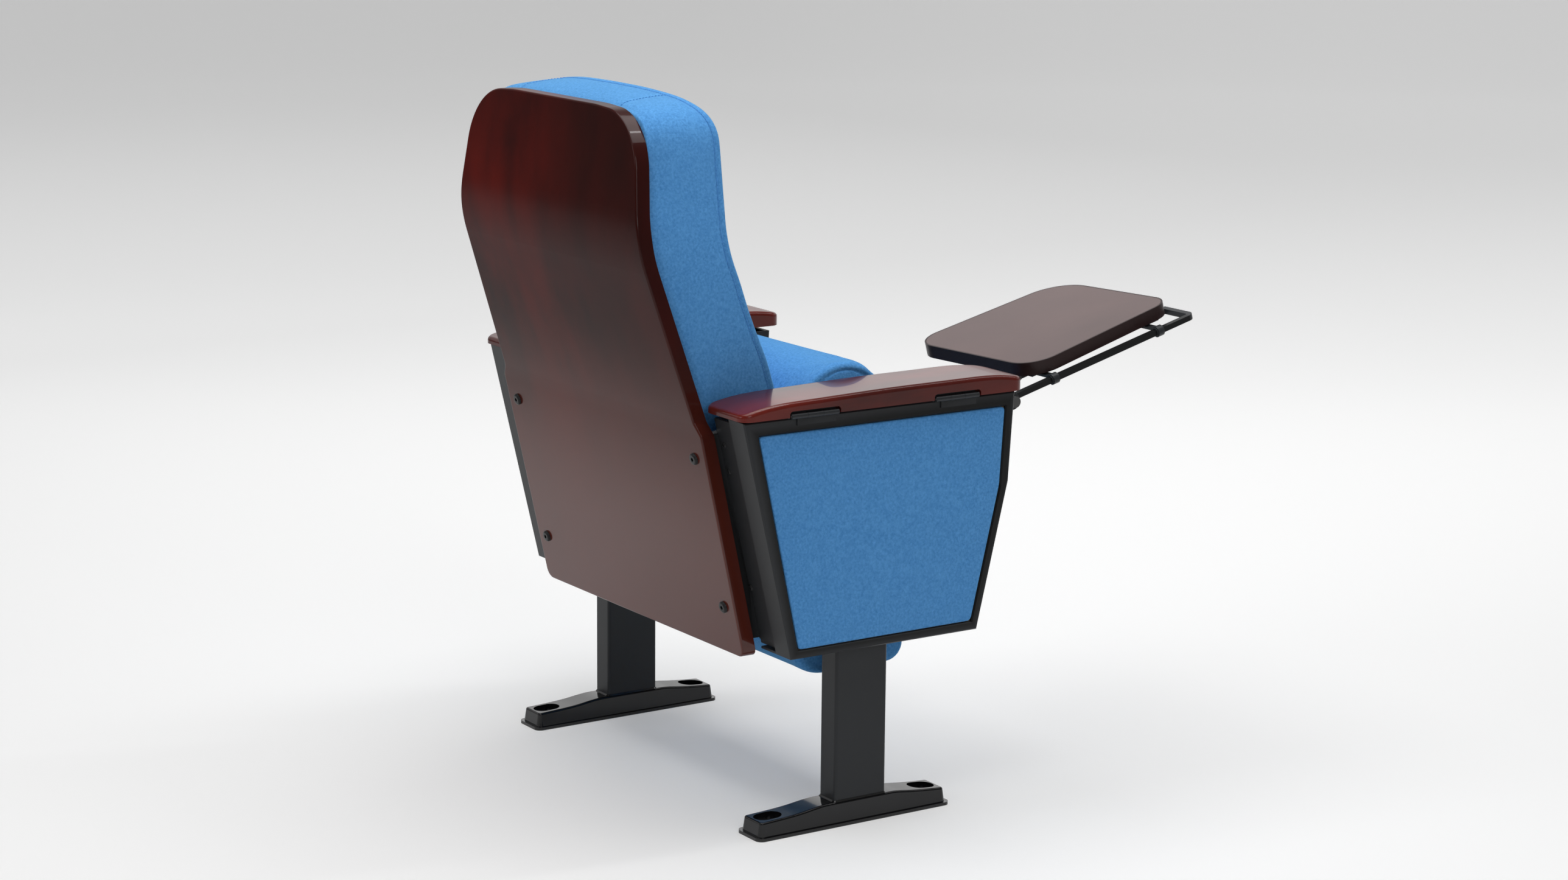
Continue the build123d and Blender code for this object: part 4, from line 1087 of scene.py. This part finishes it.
# How far inside the panel's outline each ring of its edge lies, and its x.
PANEL_RINGS = [(0.3, PANEL_BACK_X), (0.0, PANEL_BACK_X + 3.0), (0.3, PANEL_FACE_X - 1.4),
               (1.2, PANEL_FACE_X - 0.5), (3.0, PANEL_FACE_X)]
PANEL_CROWN, PANEL_REACH = 1.2, 1.4


def crossing(a, b, c, d):
    """Where the endless lines through a and b, and through c and d, cross."""
    r, s = b - a, d - c
    t = ((c.x - a.x) * s.y - (c.y - a.y) * s.x) / (r.x * s.y - r.y * s.x)
    return a + r * t


def inset_outline(points, inset):
    """A polygon's corners drawn in by inset."""
    points = [Vector(p) for p in points]
    middle = sum(points, Vector((0, 0))) / len(points)
    lines = []
    for a, b in zip(points, points[1:] + points[:1]):
        normal = Vector((b.y - a.y, a.x - b.x)).normalized()
        if normal.dot(middle - a) < 0:
            normal.negate()
        lines.append((a + normal * inset, b + normal * inset))
    return [crossing(*before, *line) for before, line in zip(lines[-1:] + lines[:-1], lines)]


def panel_ring(inset, x):
    """The panel's outline, drawn in by inset, as one line of points for each side."""
    corners = inset_outline(FABRIC_OUTLINE, inset)
    ring = []
    for a, b, count in zip(corners, corners[1:] + corners[:1], PANEL_SIDES):
        ring.append([Vector((x, *a.lerp(b, k / count))) for k in range(count + 1)])
    return ring


def make_fabric_panel(name, side, materials):
    """A padded panel in its frame; the rings turn its edge and a patch fills its face."""
    rings = [panel_ring(inset, x) for inset, x in PANEL_RINGS]
    loops = [[p for line in ring for p in line[:-1]] for ring in rings]
    rolled = [loop + loop[:1] for loop in loops]
    rear, bottom, front_low, front_high, top = rings[-1]
    patch = coons_patch(bottom, top[::-1], rear[::-1], front_low + front_high[1:])
    for j, row in enumerate(patch):
        v = j / (len(patch) - 1)
        for i, point in enumerate(row):
            u = i / (len(row) - 1)
            point.x += PANEL_CROWN * (1 - (2 * u - 1) ** 4) * (1 - (2 * v - 1) ** 4)
    grids = [rolled, patch]
    if side < 0:
        grids = [[flip_x(row) for row in rows] for rows in grids]
    cover = make_cover(f"{name}_panel_cover", grids, "stands_and_back", materials["blue_fabric"])
    inflate(cover, near_seams(cover, grids[0]), lambda at: PANEL_REACH)
    refine(cover)
    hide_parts(f"{name}_fabric_panel")


bpy.context.scene.view_settings.view_transform = "Standard"
make_camera()
make_lights()
MATERIALS = make_materials()
make_floor(make_paper())
dress_cad(MATERIALS)
make_back_cushion(MATERIALS)
make_seat(MATERIALS)
for name, side in (("left", 1), ("right", -1)):
    make_fabric_panel(name, side, MATERIALS)
